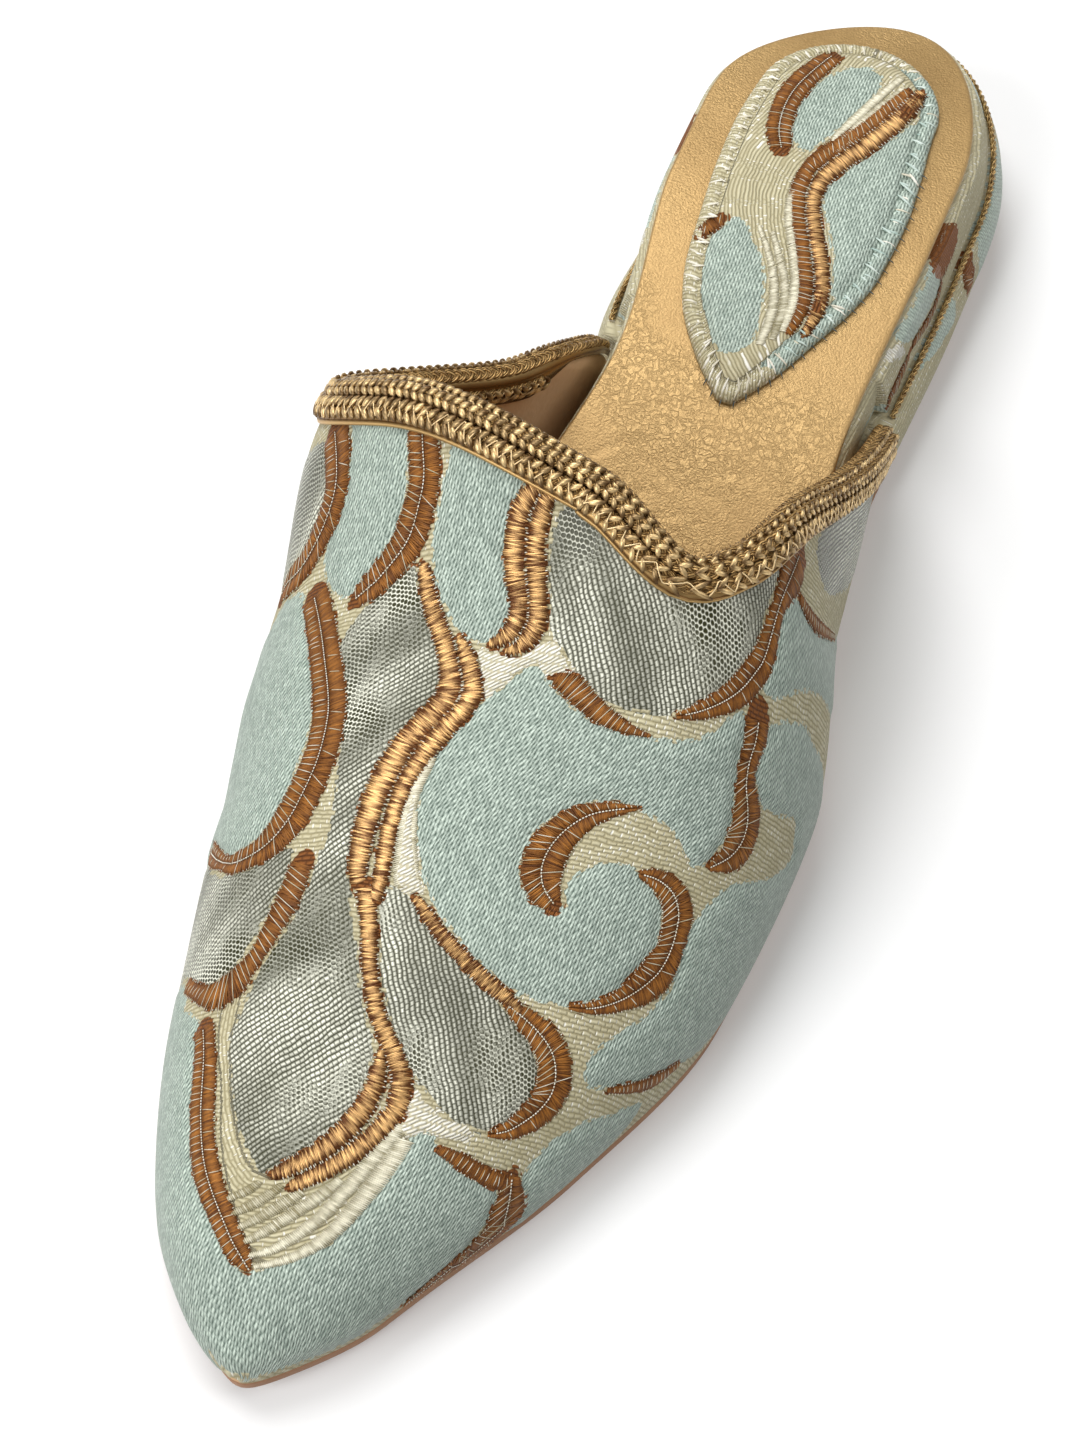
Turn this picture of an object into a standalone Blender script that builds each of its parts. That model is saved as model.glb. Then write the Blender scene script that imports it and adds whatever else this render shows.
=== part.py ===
"""Babouche: a brocade mule with a low wedge, a gold insole and a braided collar.

Lengths below are in millimetres. "along" runs from the back of the heel to the toe tip, "across" is
positive to the right seen from above with the toe towards the viewer, and "height" is above the floor.
"""
import math

import bmesh
import bpy
import numpy as np

MM = 0.001

LENGTH = 260.0
FRAME_ACROSS = 6.21
FRAME_ALONG = 129.9

OUTSOLE_THICK = 3.0
TOE_SPRING = 4.0
SPRING_START = 205.0
HEEL_ROUND = 32.0
TOE_ROUND = 16.0
END_ZONE = 60.0
LEAST_HALF = 1.2
EDGE_ROUND = 0.5
GAP = 0.3

WALL = 1.8
SIDE_SEAM = 77.4
PLATFORM_STEP = 75.0
INSOLE_THICK = 1.5
WEDGE_END = 140.0
HEEL_BULGE = 1.2
HEEL_LEAN = 4.0
LEAN_START = 20.0
LEAN_END = 74.0
LEAN_FADE = 24.0
SEAM_INSET = 2.3
TOP_INSET = 5.7
GROOVE_DEPTH = 1.2
GROOVE_HALF = 1.2
INNER_INSET = 4.4
WEDGE_INNER_INSET = 3.6
INNER_TOE_BACK = 10.0
INSOLE_TOE_BACK = 11.0

CORD_RADIUS = 0.9
CORD_INSET = 1.3
CORD_END = 74.6
CORD_LAST_STEP = 3.0

CROWN = 2.0
BRAID_START = math.radians(9.5)
BRAID_END = math.radians(172.0)
INNER_LEG_RISE = 4.0
INNER_LEG_FADE = 6.0
LEAST_LIP = 0.1
LEAST_LEG = 0.04

PAD_BACK = 13.5
PAD_TIP = 89.5
PAD_ROUND = 14.0
PAD_THICK = 2.4

SIDE_POWER = 2.4
CROWN_POWER = 2.1
RIGHT_TUCK = 5.0
LEFT_TUCK = 3.2
TOE_CLOSE = 0.8
ROW_CROWDING = 0.6
NOTCH_CROWDING = 1.3
COLLAR_STEPS = 108
RIGHT_STEPS = 44
TOE_TIP = 0.1
TOE_WALL = 3.5
SHARP_EDGE = math.radians(38)

# along, left, right: half widths of the outsole from the long axis
SOLE = np.array((
    (0, 20.2, 30.1),
    (25, 28.8, 28.8),
    (50, 28.6, 28.8),
    (85, 24.3, 27.7),
    (115, 29.0, 31.5),
    (150, 35.2, 39.9),
    (182, 42.4, 37.9),
    (213, 37.8, 26.8),
    (238, 28.9, 13.1),
    (260, 12.5, 1.7),
))

# along, insole top, seam: heights of the gold insole and of the seam under it
HEIGHTS = np.array((
    (0, 25.5, 19.3),
    (45, 28.4, 15.4),
    (90, 23.7, 13.0),
    (140, 12.9, 6.6),
    (200, 8.8, 6.0),
    (260, 8.0, 6.0),
))

# along, left bulge, right bulge, ridge across, ridge height: sections of the upper
UPPER = np.array((
    (75, -0.5, -1.2, -4.9, 63.8),
    (100, 6.3, 2.7, -5.9, 67.3),
    (125, 30.6, 1.1, -2.6, 71.3),
    (155, 18.7, 1.2, 0.0, 54.2),
    (185, 3.9, 2.1, -6.6, 40.8),
    (215, 0.9, 2.0, -7.4, 30.1),
    (242, 0.0, 1.0, -8.3, 23.6),
    (256, 3.0, 0.5, -7.6, 17.0),
))

# angle round the section from the right feather line, along: the collar's finished edge
COLLAR = np.array((
    (0, 76.0),
    (9, 77.4),
    (20, 88.6),
    (46, 118.8),
    (63, 135.6),
    (73, 140.2),
    (92, 134.6),
    (115, 129.2),
    (130, 127.2),
    (139, 124.4),
    (146, 117.0),
    (151, 106.0),
    (156, 94.5),
    (162, 86.5),
    (171, 79.4),
    (180, 76.0),
))

# along, left, right: half widths of the heel pad from the long axis
PAD = np.array((
    (13.5, 13.5, 16.0),
    (27, 15.5, 15.8),
    (38, 16.4, 17.0),
    (48, 16.0, 17.8),
    (59, 14.8, 17.2),
    (67, 13.8, 15.1),
    (75, 11.4, 11.4),
    (82, 6.8, 8.0),
    (89.5, -0.4, 2.8),
))

# from the collar's edge, off the upper's face: the braid's section, folded over the upper
BRAID = np.array((
    (8.5, 0.5),
    (8.7, 1.0),
    (6.8, 1.7),
    (4.6, 1.5),
    (2.4, 1.7),
    (0.5, 0.9),
    (0.0, -0.9),
    (0.5, -2.8),
    (2.4, -3.5),
    (6.6, -3.4),
    (7.0, -2.3),
    (1.5, -2.3),
    (1.5, 0.5),
))


def curve(knots, values, at):
    """Cubic through a short table that never overshoots its rows."""
    step = np.diff(knots)
    slope = np.diff(values) / step
    tangent = np.zeros(len(knots))
    before, after = slope[:-1], slope[1:]
    rising = before * after > 0
    w1 = 2 * step[1:] + step[:-1]
    w2 = step[1:] + 2 * step[:-1]
    inner = np.zeros(len(before))
    inner[rising] = (w1 + w2)[rising] / (w1[rising] / before[rising] + w2[rising] / after[rising])
    tangent[1:-1] = inner
    for end, a, b in ((0, 0, 1), (-1, -1, -2)):
        value = ((2 * step[a] + step[b]) * slope[a] - step[a] * slope[b]) / (step[a] + step[b])
        if value * slope[a] <= 0:
            value = 0.0
        elif slope[a] * slope[b] <= 0 and abs(value) > 3 * abs(slope[a]):
            value = 3 * slope[a]
        tangent[end] = value
    at = np.asarray(at, float)
    i = np.clip(np.searchsorted(knots, at, side="right") - 1, 0, len(knots) - 2)
    t = np.clip((at - knots[i]) / step[i], 0, 1)
    h00 = (1 + 2 * t) * (1 - t) ** 2
    h10 = t * (1 - t) ** 2
    h01 = t * t * (3 - 2 * t)
    h11 = t * t * (t - 1)
    return h00 * values[i] + h10 * step[i] * tangent[i] + h01 * values[i + 1] + h11 * step[i] * tangent[i + 1]


def rounding(along):
    """How much of its full width the outline has left at the rounded heel and toe."""
    heel = np.clip(1 - along / HEEL_ROUND, 0, 1)
    toe = np.clip(1 - (LENGTH - along) / TOE_ROUND, 0, 1)
    return np.sqrt(np.clip(1 - heel ** 2, 0, 1) * np.clip(1 - toe ** 2, 0, 1))


def lean_in(along):
    """How far the heel's left wall is drawn in under the edge of the insole."""
    start = np.clip(along / LEAN_START, 0, 1)
    end = np.clip((LEAN_END - along) / LEAN_FADE, 0, 1)
    return HEEL_LEAN * start ** 2 * (3 - 2 * start) * end ** 2 * (3 - 2 * end)


def outline(along, inset=0.0, toe_back=0.0, lean=0.0):
    """Left edge, right edge and station of the sole's outline, drawn in by the inset.

    The lean is the share of lean_in that the left edge takes, 1 at the floor and 0 at the insole.
    """
    left = curve(SOLE[:, 0], SOLE[:, 1], along) - lean * lean_in(along)
    right = curve(SOLE[:, 0], SOLE[:, 2], along)
    half = np.maximum((left + right) / 2 - inset, LEAST_HALF) * rounding(along)
    middle = (right - left) / 2
    heel = (inset if np.isscalar(inset) else inset[0]) * np.clip(1 - along / END_ZONE, 0, 1)
    toe = toe_back * np.clip(1 - (LENGTH - along) / END_ZONE, 0, 1)
    return middle - half, middle + half, along + heel - toe


def spring(along):
    """Rise of the sole towards the toe."""
    return TOE_SPRING * np.clip((along - SPRING_START) / (LENGTH - SPRING_START), 0, 1) ** 2


def insole_top(along):
    return curve(HEIGHTS[:, 0], HEIGHTS[:, 1], along) + spring(along)


def seam(along):
    return curve(HEIGHTS[:, 0], HEIGHTS[:, 2], along)


def feather(along):
    """Height where the upper stands on the outsole."""
    return OUTSOLE_THICK + GAP + spring(along)


def shell(along, angle):
    """Outer face of the upper: angle 0 is the right feather line, pi the left."""
    low, high, _ = outline(along)
    rows = np.clip(along, UPPER[0, 0], UPPER[-1, 0])
    bulge_left, bulge_right, ridge, top = (curve(UPPER[:, 0], UPPER[:, c], rows) for c in (1, 2, 3, 4))
    close = np.sqrt(np.clip(1 - (1 - np.clip((LENGTH - along) / TOE_ROUND, 0, 1)) ** 2, 0, 1))
    base = feather(along)
    top = base + (top - base) * close ** TOE_CLOSE
    ridge = (low + high) / 2 * (1 - close) + ridge * close
    rise = np.clip(np.sin(angle), 0, 1)
    spread = np.abs(np.cos(angle)) ** (2 / SIDE_POWER)
    on_right = angle < math.pi / 2
    bulge = np.where(on_right, bulge_right, -bulge_left) * close
    edge = np.where(on_right, high, low) + bulge
    tuck = np.where(on_right, (1 - rise) ** RIGHT_TUCK, (1 - rise) ** LEFT_TUCK)
    across = ridge + (edge - ridge) * spread - bulge * tuck
    return np.stack([across, along, base + (top - base) * rise ** (2 / CROWN_POWER)], -1)


def slopes(along, angle):
    """The shell's two tangents and its outward normal."""
    step, turn = 0.4, 0.01
    ahead = np.minimum(along + step, LENGTH - 0.02)
    behind = along - step
    up = np.minimum(angle + turn, math.pi)
    down = np.maximum(angle - turn, 0.0)
    d_along = (shell(ahead, angle) - shell(behind, angle)) / (ahead - behind)[..., None]
    d_angle = (shell(along, up) - shell(along, down)) / (up - down)[..., None]
    normal = np.cross(d_along, d_angle)
    return d_along, d_angle, normal / np.linalg.norm(normal, axis=-1, keepdims=True)


def collar(angle):
    return curve(np.radians(COLLAR[:, 0]), COLLAR[:, 1], angle)


def collar_angles():
    """Angles that divide the collar's edge on each side of its notch, closer towards the notch."""
    notch = math.radians(COLLAR[COLLAR[:, 1].argmax(), 0])
    sides = []
    for far, steps in ((0.0, RIGHT_STEPS), (math.pi, COLLAR_STEPS - RIGHT_STEPS)):
        many = np.linspace(notch, far, 500)
        run = np.linalg.norm(np.diff(shell(collar(many), many), axis=0), axis=1)
        walked = np.concatenate([[0.0], np.cumsum(run)])
        share = np.linspace(0, 1, steps + 1) ** NOTCH_CROWDING
        sides.append(np.interp(share * walked[-1], walked, many))
    return np.concatenate([sides[0][::-1], sides[1][1:]])


def from_collar(angle, distance):
    """Station and angle at a distance from the collar's edge, square to it on the shell."""
    turn = 0.004
    along = collar(angle)
    run = (collar(np.minimum(angle + turn, math.pi)) - collar(np.maximum(angle - turn, 0))) / (2 * turn)
    d_along, d_angle, _ = slopes(along, angle)
    ee = (d_along * d_along).sum(-1)
    ff = (d_along * d_angle).sum(-1)
    gg = (d_angle * d_angle).sum(-1)
    step_along = ff * run + gg
    step_angle = -(ee * run + ff)
    size = np.sqrt(step_along ** 2 * ee + 2 * step_along * step_angle * ff + step_angle ** 2 * gg)
    sign = np.sign(step_along) / size
    return along + distance * step_along * sign, np.clip(angle + distance * step_angle * sign, 0, math.pi)


def stations(middle=22, heel_steps=9, toe_steps=6):
    """Positions along the shoe, close together where the heel and the toe turn."""
    tight = 0.09
    heel = HEEL_ROUND * (1 - np.cos(np.linspace(tight, math.pi / 2, heel_steps)))
    toe = LENGTH - TOE_ROUND * (1 - np.cos(np.linspace(math.pi / 2, tight, toe_steps)))
    body = np.linspace(HEEL_ROUND, LENGTH - TOE_ROUND, middle)
    return np.unique(np.round(np.concatenate([heel, body, toe]), 4))


def add_object(name, points, faces, colour, roughness, metallic):
    """One closed solid with its own material, in metres, centred over the origin."""
    points = np.asarray(points, float)
    placed = np.stack([points[:, 0] + FRAME_ACROSS, FRAME_ALONG - points[:, 1], points[:, 2]], 1) * MM
    mesh = bpy.data.meshes.new(name)
    mesh.from_pydata(placed.tolist(), [], faces)
    solid = bmesh.new()
    solid.from_mesh(mesh)
    bmesh.ops.recalc_face_normals(solid, faces=solid.faces)
    solid.to_mesh(mesh)
    solid.free()
    mesh.shade_smooth()
    mesh.set_sharp_from_angle(angle=SHARP_EDGE)
    material = bpy.data.materials.new(name)
    material.use_nodes = True
    shader = material.node_tree.nodes["Principled BSDF"]
    shader.inputs["Base Color"].default_value = (*colour, 1.0)
    shader.inputs["Roughness"].default_value = roughness
    shader.inputs["Metallic"].default_value = metallic
    mesh.materials.append(material)
    part = bpy.data.objects.new(name, mesh)
    bpy.context.scene.collection.objects.link(part)
    return part


def stack(levels):
    """A solid from a pile of outlines: each level gives left, right, along and height per station."""
    count = len(levels[0][0])
    points = []
    for left, right, along, height in levels:
        points += list(zip(right, along, height))
        points += list(zip(left[::-1], along[::-1], height[::-1]))
    ring = 2 * count
    faces = []
    for level in range(len(levels) - 1):
        for i in range(ring):
            a = level * ring + i
            b = level * ring + (i + 1) % ring
            faces.append((a, a + ring, b + ring, b))
    top = (len(levels) - 1) * ring
    for i in range(count - 1):
        j = ring - 1 - i
        faces.append((i, i + 1, j - 1, j))
        faces.append((top + i, top + j, top + j - 1, top + i + 1))
    return points, faces


def make_outsole():
    along = stations()
    # inset, rise
    rows = (
        (EDGE_ROUND, 0.0),
        (0.0, EDGE_ROUND),
        (0.0, OUTSOLE_THICK - EDGE_ROUND),
        (EDGE_ROUND, OUTSOLE_THICK),
    )
    levels = []
    for inset, rise in rows:
        left, right, placed = outline(along, inset, toe_back=inset, lean=1.0)
        levels.append((left, right, placed, spring(along) + rise))
    return add_object("outsole", *stack(levels), (0.46, 0.27, 0.15), 0.6, 0.0)


def step_stations(step, *extra):
    """Stations with a pair where the heel steps in under the upper."""
    return np.unique(np.concatenate([stations(), (step - GAP, step + GAP), extra]))


def make_heel_wedge():
    along = step_stations(SIDE_SEAM, WEDGE_END)
    along = along[along <= WEDGE_END]
    shown = along < SIDE_SEAM
    shares = (0.0, 0.25, 0.55, 0.8)
    levels = []
    for share in shares:
        inset = SEAM_INSET * share - HEEL_BULGE * math.sin(math.pi * share)
        left, right, placed = outline(along, np.where(shown, inset, WEDGE_INNER_INSET), lean=1.0)
        low = feather(placed)
        top = seam(placed) - GROOVE_HALF
        levels.append((left, right, placed, low + (top - low) * share / shares[-1]))
    deep = np.where(shown, SEAM_INSET, WEDGE_INNER_INSET) + GROOVE_DEPTH
    left, right, placed = outline(along, deep, lean=1.0)
    levels.append((left, right, placed, seam(placed) - GAP / 2))
    return add_object("heel_wedge", *stack(levels), (0.42, 0.46, 0.40), 0.5, 0.0)


def make_platform():
    along = step_stations(PLATFORM_STEP, WEDGE_END, WEDGE_END + GAP, WEDGE_END + 2 * GAP)
    shown = along < PLATFORM_STEP
    behind = along < WEDGE_END + 1.5 * GAP
    lift = np.where(behind, GROOVE_HALF, EDGE_ROUND)
    # inset at the heel, inset under the upper, share of the height above the lower corner
    rows = (
        (SEAM_INSET + GROOVE_DEPTH, INNER_INSET + 0.6, None),
        (SEAM_INSET, INNER_INSET, 0.0),
        (SEAM_INSET + 0.8, INNER_INSET, 0.5),
        (TOP_INSET - 1.6, INNER_INSET + 0.4, 0.88),
        (TOP_INSET - 0.4, TOP_INSET, 1.0),
    )
    levels = []
    for heel_inset, inner_inset, share in rows:
        inset = np.where(shown, heel_inset, inner_inset)
        lean = 1.0 - (share or 0.0)
        left, right, placed = outline(along, inset, toe_back=INNER_TOE_BACK, lean=lean)
        low = np.where(behind, seam(placed) + GAP / 2, feather(placed))
        top = insole_top(placed) - INSOLE_THICK - GAP
        height = low if share is None else low + lift + (top - low - lift) * share
        levels.append((left, right, placed, height))
    return add_object("platform", *stack(levels), (0.40, 0.46, 0.42), 0.5, 0.0)


def make_insole():
    along = stations()
    # inset, depth under the top
    rows = (
        (0.2, INSOLE_THICK),
        (0.0, INSOLE_THICK - EDGE_ROUND),
        (0.0, EDGE_ROUND),
        (EDGE_ROUND, 0.0),
    )
    levels = []
    for inset, depth in rows:
        left, right, placed = outline(along, TOP_INSET + inset, toe_back=INSOLE_TOE_BACK)
        levels.append((left, right, placed, insole_top(placed) - depth))
    return add_object("insole", *stack(levels), (0.62, 0.38, 0.14), 0.42, 0.55)


def make_heel_pad():
    tight, steps = 0.12, 26
    turn = np.linspace(tight, math.pi - tight, steps)
    along = PAD_BACK + (PAD_TIP - PAD_BACK) * (1 - np.cos(turn)) / 2
    shut = np.sqrt(np.clip(1 - np.clip(1 - (along - PAD_BACK) / PAD_ROUND, 0, 1) ** 2, 0, 1))
    left = curve(PAD[:, 0], PAD[:, 1], along)
    right = curve(PAD[:, 0], PAD[:, 2], along)
    middle, half = (right - left) / 2, (left + right) / 2 * shut
    # inset, share of the thickness
    rows = (
        (0.7, 0.0),
        (0.0, 0.3),
        (0.5, 0.7),
        (2.2, 0.9),
        (5.5, 1.0),
    )
    levels = []
    for inset, share in rows:
        narrow = half * (1 - inset / half.max())
        placed = along + (along.mean() - along) * inset / (PAD_TIP - PAD_BACK) * 2
        height = insole_top(placed) + GAP + PAD_THICK * share
        levels.append((middle - narrow, middle + narrow, placed, height))
    return add_object("heel_pad", *stack(levels), (0.55, 0.53, 0.42), 0.6, 0.0)


def make_upper(rows=22):
    columns = COLLAR_STEPS // 2
    edge, angle = from_collar(collar_angles()[::2], CROWN)
    angle[0], angle[-1] = 0.0, math.pi
    even = np.linspace(0, 1, rows + 1)
    share = even - ROW_CROWDING * np.sin(2 * math.pi * even) / (2 * math.pi)
    spread = np.broadcast_to(angle, (rows + 1, columns + 1))
    outer = shell(edge + (LENGTH - TOE_TIP - edge) * share[:, None], spread)
    along = edge + (LENGTH - TOE_WALL - edge) * share[:, None]
    inner = shell(along, spread) - WALL * slopes(along, spread)[2]
    for column in (0, columns):
        inner[:, column, 2] = feather(inner[:, column, 1])
    inner[..., 2] = np.maximum(inner[..., 2], feather(inner[..., 1]))
    points = np.concatenate([outer.reshape(-1, 3), inner.reshape(-1, 3)])
    wide = columns + 1
    shift = wide * (rows + 1)
    faces = []
    for r in range(rows):
        for c in range(columns):
            a = r * wide + c
            faces.append((a, a + wide, a + wide + 1, a + 1))
            faces.append((a + shift, a + shift + 1, a + shift + wide + 1, a + shift + wide))
        right, left = r * wide, r * wide + columns
        faces.append((right, right + shift, right + shift + wide, right + wide))
        faces.append((left, left + wide, left + shift + wide, left + shift))
    for c in range(columns):
        faces.append((c, c + 1, c + 1 + shift, c + shift))
    toe = rows * wide
    faces.append([toe + c for c in range(wide)])
    faces.append([toe + shift + c for c in reversed(range(wide))])
    faces.append((toe, toe + shift, toe + shift + columns, toe + columns))
    return add_object("upper", points, faces, (0.36, 0.44, 0.40), 0.42, 0.0)


def tube(rings):
    """A closed solid swept through rings of equal length, with flat ends."""
    count, size = len(rings), len(rings[0])
    points = np.concatenate(rings)
    faces = []
    for r in range(count - 1):
        for i in range(size):
            j = (i + 1) % size
            faces.append((r * size + i, r * size + j, (r + 1) * size + j, (r + 1) * size + i))
    faces.append(list(reversed(range(size))))
    faces.append([(count - 1) * size + i for i in range(size)])
    return points, faces


def make_collar_braid():
    angle = collar_angles()
    angle = angle[(angle > BRAID_START) & (angle < BRAID_END)]
    steps = len(angle) - 1
    height = shell(collar(angle), angle)[:, 2]
    above = height - insole_top(collar(angle)) - INNER_LEG_RISE
    fold = np.clip(above / INNER_LEG_FADE, 0, 1)
    channel, under = BRAID[-2]
    rings = []
    for distance, off in BRAID:
        reach = np.full(steps + 1, distance)
        rise = np.full(steps + 1, off)
        if off <= under:
            rise = under + (off - under) * np.maximum(fold, LEAST_LIP)
            if distance > channel:
                reach = channel + (distance - channel) * np.maximum(fold, LEAST_LEG)
        along, round_at = from_collar(angle, reach)
        rings.append(shell(along, round_at) + rise[:, None] * slopes(along, round_at)[2])
    sections = [np.array([ring[i] for ring in rings]) for i in range(steps + 1)]
    return add_object("collar_braid", *tube(sections), (0.42, 0.27, 0.09), 0.35, 0.6)


def make_heel_cord(sides=8):
    along = stations()
    along = np.append(along[along < CORD_END - CORD_LAST_STEP], CORD_END)
    left, right, placed = outline(along, CORD_INSET, lean=1.0)
    middle = np.concatenate([
        np.stack([right[::-1], placed[::-1], seam(placed)[::-1]], 1),
        np.stack([left, placed, seam(placed)], 1),
    ])
    run = np.gradient(middle, axis=0)
    run /= np.linalg.norm(run, axis=1, keepdims=True)
    out = np.cross(run, (0.0, 0.0, 1.0))
    out /= np.linalg.norm(out, axis=1, keepdims=True)
    up = np.cross(out, run)
    turns = np.linspace(0, 2 * math.pi, sides, endpoint=False)
    rings = [
        m + CORD_RADIUS * (np.cos(turns)[:, None] * o + np.sin(turns)[:, None] * u)
        for m, o, u in zip(middle, out, up)
    ]
    return add_object("heel_cord", *tube(rings), (0.50, 0.33, 0.12), 0.35, 0.6)


def main():
    for old in list(bpy.data.objects):
        bpy.data.objects.remove(old, do_unlink=True)
    make_outsole()
    make_heel_wedge()
    make_platform()
    make_insole()
    make_heel_pad()
    make_upper()
    make_collar_braid()
    make_heel_cord()


main()
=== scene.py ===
import math

import bmesh
import bpy
import numpy as np
from mathutils import Matrix, Vector
from mathutils.bvhtree import BVHTree


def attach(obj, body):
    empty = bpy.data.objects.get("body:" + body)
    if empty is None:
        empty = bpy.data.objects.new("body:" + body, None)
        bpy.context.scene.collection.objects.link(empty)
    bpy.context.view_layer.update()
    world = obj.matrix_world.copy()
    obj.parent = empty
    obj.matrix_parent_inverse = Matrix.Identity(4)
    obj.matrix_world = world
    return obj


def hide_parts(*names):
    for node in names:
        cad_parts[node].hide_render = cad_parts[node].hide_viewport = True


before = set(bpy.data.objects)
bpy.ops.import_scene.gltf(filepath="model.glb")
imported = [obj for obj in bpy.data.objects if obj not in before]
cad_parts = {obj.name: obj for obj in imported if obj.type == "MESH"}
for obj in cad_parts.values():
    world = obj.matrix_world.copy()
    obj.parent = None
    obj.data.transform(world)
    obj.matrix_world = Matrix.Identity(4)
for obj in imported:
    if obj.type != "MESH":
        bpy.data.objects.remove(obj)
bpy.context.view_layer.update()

chance = np.random.default_rng(7)
print("frame loaded,", len(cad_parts), "nodes")

mm = 0.001

# the shoe's own sizes in mm, the same as the solids have
shoe = {
    "length": 260.0, "frameAcross": 6.21, "frameAlong": 129.9,
    "outsoleThick": 3.0, "toeSpring": 4.0, "springStart": 205.0,
    "heelRound": 32.0, "toeRound": 16.0, "endZone": 60.0, "leastHalf": 1.2,
    "heelLean": 4.0, "leanStart": 20.0, "leanEnd": 74.0, "leanFade": 24.0,
    "gap": 0.3, "wall": 1.8, "crown": 2.0, "sideSeam": 77.4, "platformStep": 75.0,
    "sidePower": 2.4, "crownPower": 2.1, "rightTuck": 5.0, "leftTuck": 3.2, "toeClose": 0.8, "toeWall": 3.5,
}

# along, left, right: half widths of the sole
soleTable = np.array((
    (0, 20.2, 30.1), (25, 28.8, 28.8), (50, 28.6, 28.8), (85, 24.3, 27.7), (115, 29.0, 31.5),
    (150, 35.2, 39.9), (182, 42.4, 37.9), (213, 37.8, 26.8), (238, 28.9, 13.1), (260, 12.5, 1.7),
))

# along, insole top, seam between the two heel bands
heightTable = np.array((
    (0, 25.5, 19.3), (45, 28.4, 15.4), (90, 23.7, 13.0), (140, 12.9, 6.6), (200, 8.8, 6.0), (260, 8.0, 6.0),
))

# along, left bulge, right bulge, ridge across, ridge height
upperTable = np.array((
    (75, -0.5, -1.2, -4.9, 63.8), (100, 6.3, 2.7, -5.9, 67.3), (125, 30.6, 1.1, -2.6, 71.3),
    (155, 18.7, 1.2, 0.0, 54.2), (185, 3.9, 2.1, -6.6, 40.8), (215, 0.9, 2.0, -7.4, 30.1),
    (242, 0.0, 1.0, -8.3, 23.6), (256, 3.0, 0.5, -7.6, 17.0),
))

# angle round the section in degrees, along: the collar's finished edge
collarTable = np.array((
    (0, 76.0), (9, 77.4), (20, 88.6), (46, 118.8), (63, 135.6), (73, 140.2), (92, 134.6), (115, 129.2),
    (130, 127.2), (139, 124.4), (146, 117.0), (151, 106.0), (156, 94.5), (162, 86.5), (171, 79.4),
    (180, 76.0),
))

# along, left, right: half widths of the heel pad
padTable = np.array((
    (13.5, 13.5, 16.0), (27, 15.5, 15.8), (38, 16.4, 17.0), (48, 16.0, 17.8), (59, 14.8, 17.2),
    (67, 13.8, 15.1), (75, 11.4, 11.4), (82, 6.8, 8.0), (89.5, -0.4, 2.8),
))


# curves that never overshoot their rows
def smoothTable(knots, values, at):
    step = np.diff(knots)
    slope = np.diff(values) / step
    tangent = np.zeros(len(knots))
    before, after = slope[:-1], slope[1:]
    rising = before * after > 0
    w1 = 2 * step[1:] + step[:-1]
    w2 = step[1:] + 2 * step[:-1]
    inner = np.zeros(len(before))
    inner[rising] = (w1 + w2)[rising] / (w1[rising] / before[rising] + w2[rising] / after[rising])
    tangent[1:-1] = inner
    for end, a, b in ((0, 0, 1), (-1, -1, -2)):
        value = ((2 * step[a] + step[b]) * slope[a] - step[a] * slope[b]) / (step[a] + step[b])
        if value * slope[a] <= 0:
            value = 0.0
        elif slope[a] * slope[b] <= 0 and abs(value) > 3 * abs(slope[a]):
            value = 3 * slope[a]
        tangent[end] = value
    at = np.asarray(at, float)
    i = np.clip(np.searchsorted(knots, at, side="right") - 1, 0, len(knots) - 2)
    t = np.clip((at - knots[i]) / step[i], 0, 1)
    rise = t * t * (3 - 2 * t)
    lead = t * (1 - t) ** 2 * tangent[i] + t * t * (t - 1) * tangent[i + 1]
    return values[i] * (1 - rise) + values[i + 1] * rise + step[i] * lead


def unit(vectors, least=0.0):
    return vectors / np.maximum(np.linalg.norm(vectors, axis=-1, keepdims=True), least)


# length walked at each point of a line
def walkedLength(line):
    return np.concatenate([[0.0], np.cumsum(np.linalg.norm(np.diff(line, axis=0), axis=1))])


# a flat direction turned to its left
def leftward(run):
    return np.stack([-run[:, 1], run[:, 0]], 1)


# flat coordinates in turned axes
def rotated(x, y, degrees):
    c, s = math.cos(math.radians(degrees)), math.sin(math.radians(degrees))
    return x * c + y * s, y * c - x * s


# points of a line at the given lengths
def pointsAt(at, walked, line):
    return np.stack([np.interp(at, walked, column) for column in np.asarray(line).T], 1)


def readTable(table, column, at):
    return smoothTable(table[:, 0], table[:, column], at)


def softStep(value, low, high):
    t = np.clip((value - low) / (high - low), 0, 1)
    return t * t * (3 - 2 * t)


# the lean is the share of the heel's left wall that is drawn in under the insole
def outline(along, inset=0.0, toeBack=0.0, lean=0.0):
    drawn = softStep(along, 0, shoe["leanStart"]) * softStep(shoe["leanEnd"] - along, 0, shoe["leanFade"])
    left = readTable(soleTable, 1, along) - lean * shoe["heelLean"] * drawn
    right = readTable(soleTable, 2, along)
    heel = np.clip(1 - along / shoe["heelRound"], 0, 1)
    toe = np.clip(1 - (shoe["length"] - along) / shoe["toeRound"], 0, 1)
    rounding = np.sqrt(np.clip(1 - heel ** 2, 0, 1) * np.clip(1 - toe ** 2, 0, 1))
    half = np.maximum((left + right) / 2 - inset, shoe["leastHalf"]) * rounding
    middle = (right - left) / 2
    first = inset if np.isscalar(inset) else inset[0]
    shift = first * np.clip(1 - along / shoe["endZone"], 0, 1)
    shift = shift - toeBack * np.clip(1 - (shoe["length"] - along) / shoe["endZone"], 0, 1)
    return middle - half, middle + half, along + shift


def spring(along):
    start = shoe["springStart"]
    return shoe["toeSpring"] * np.clip((along - start) / (shoe["length"] - start), 0, 1) ** 2


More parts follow.
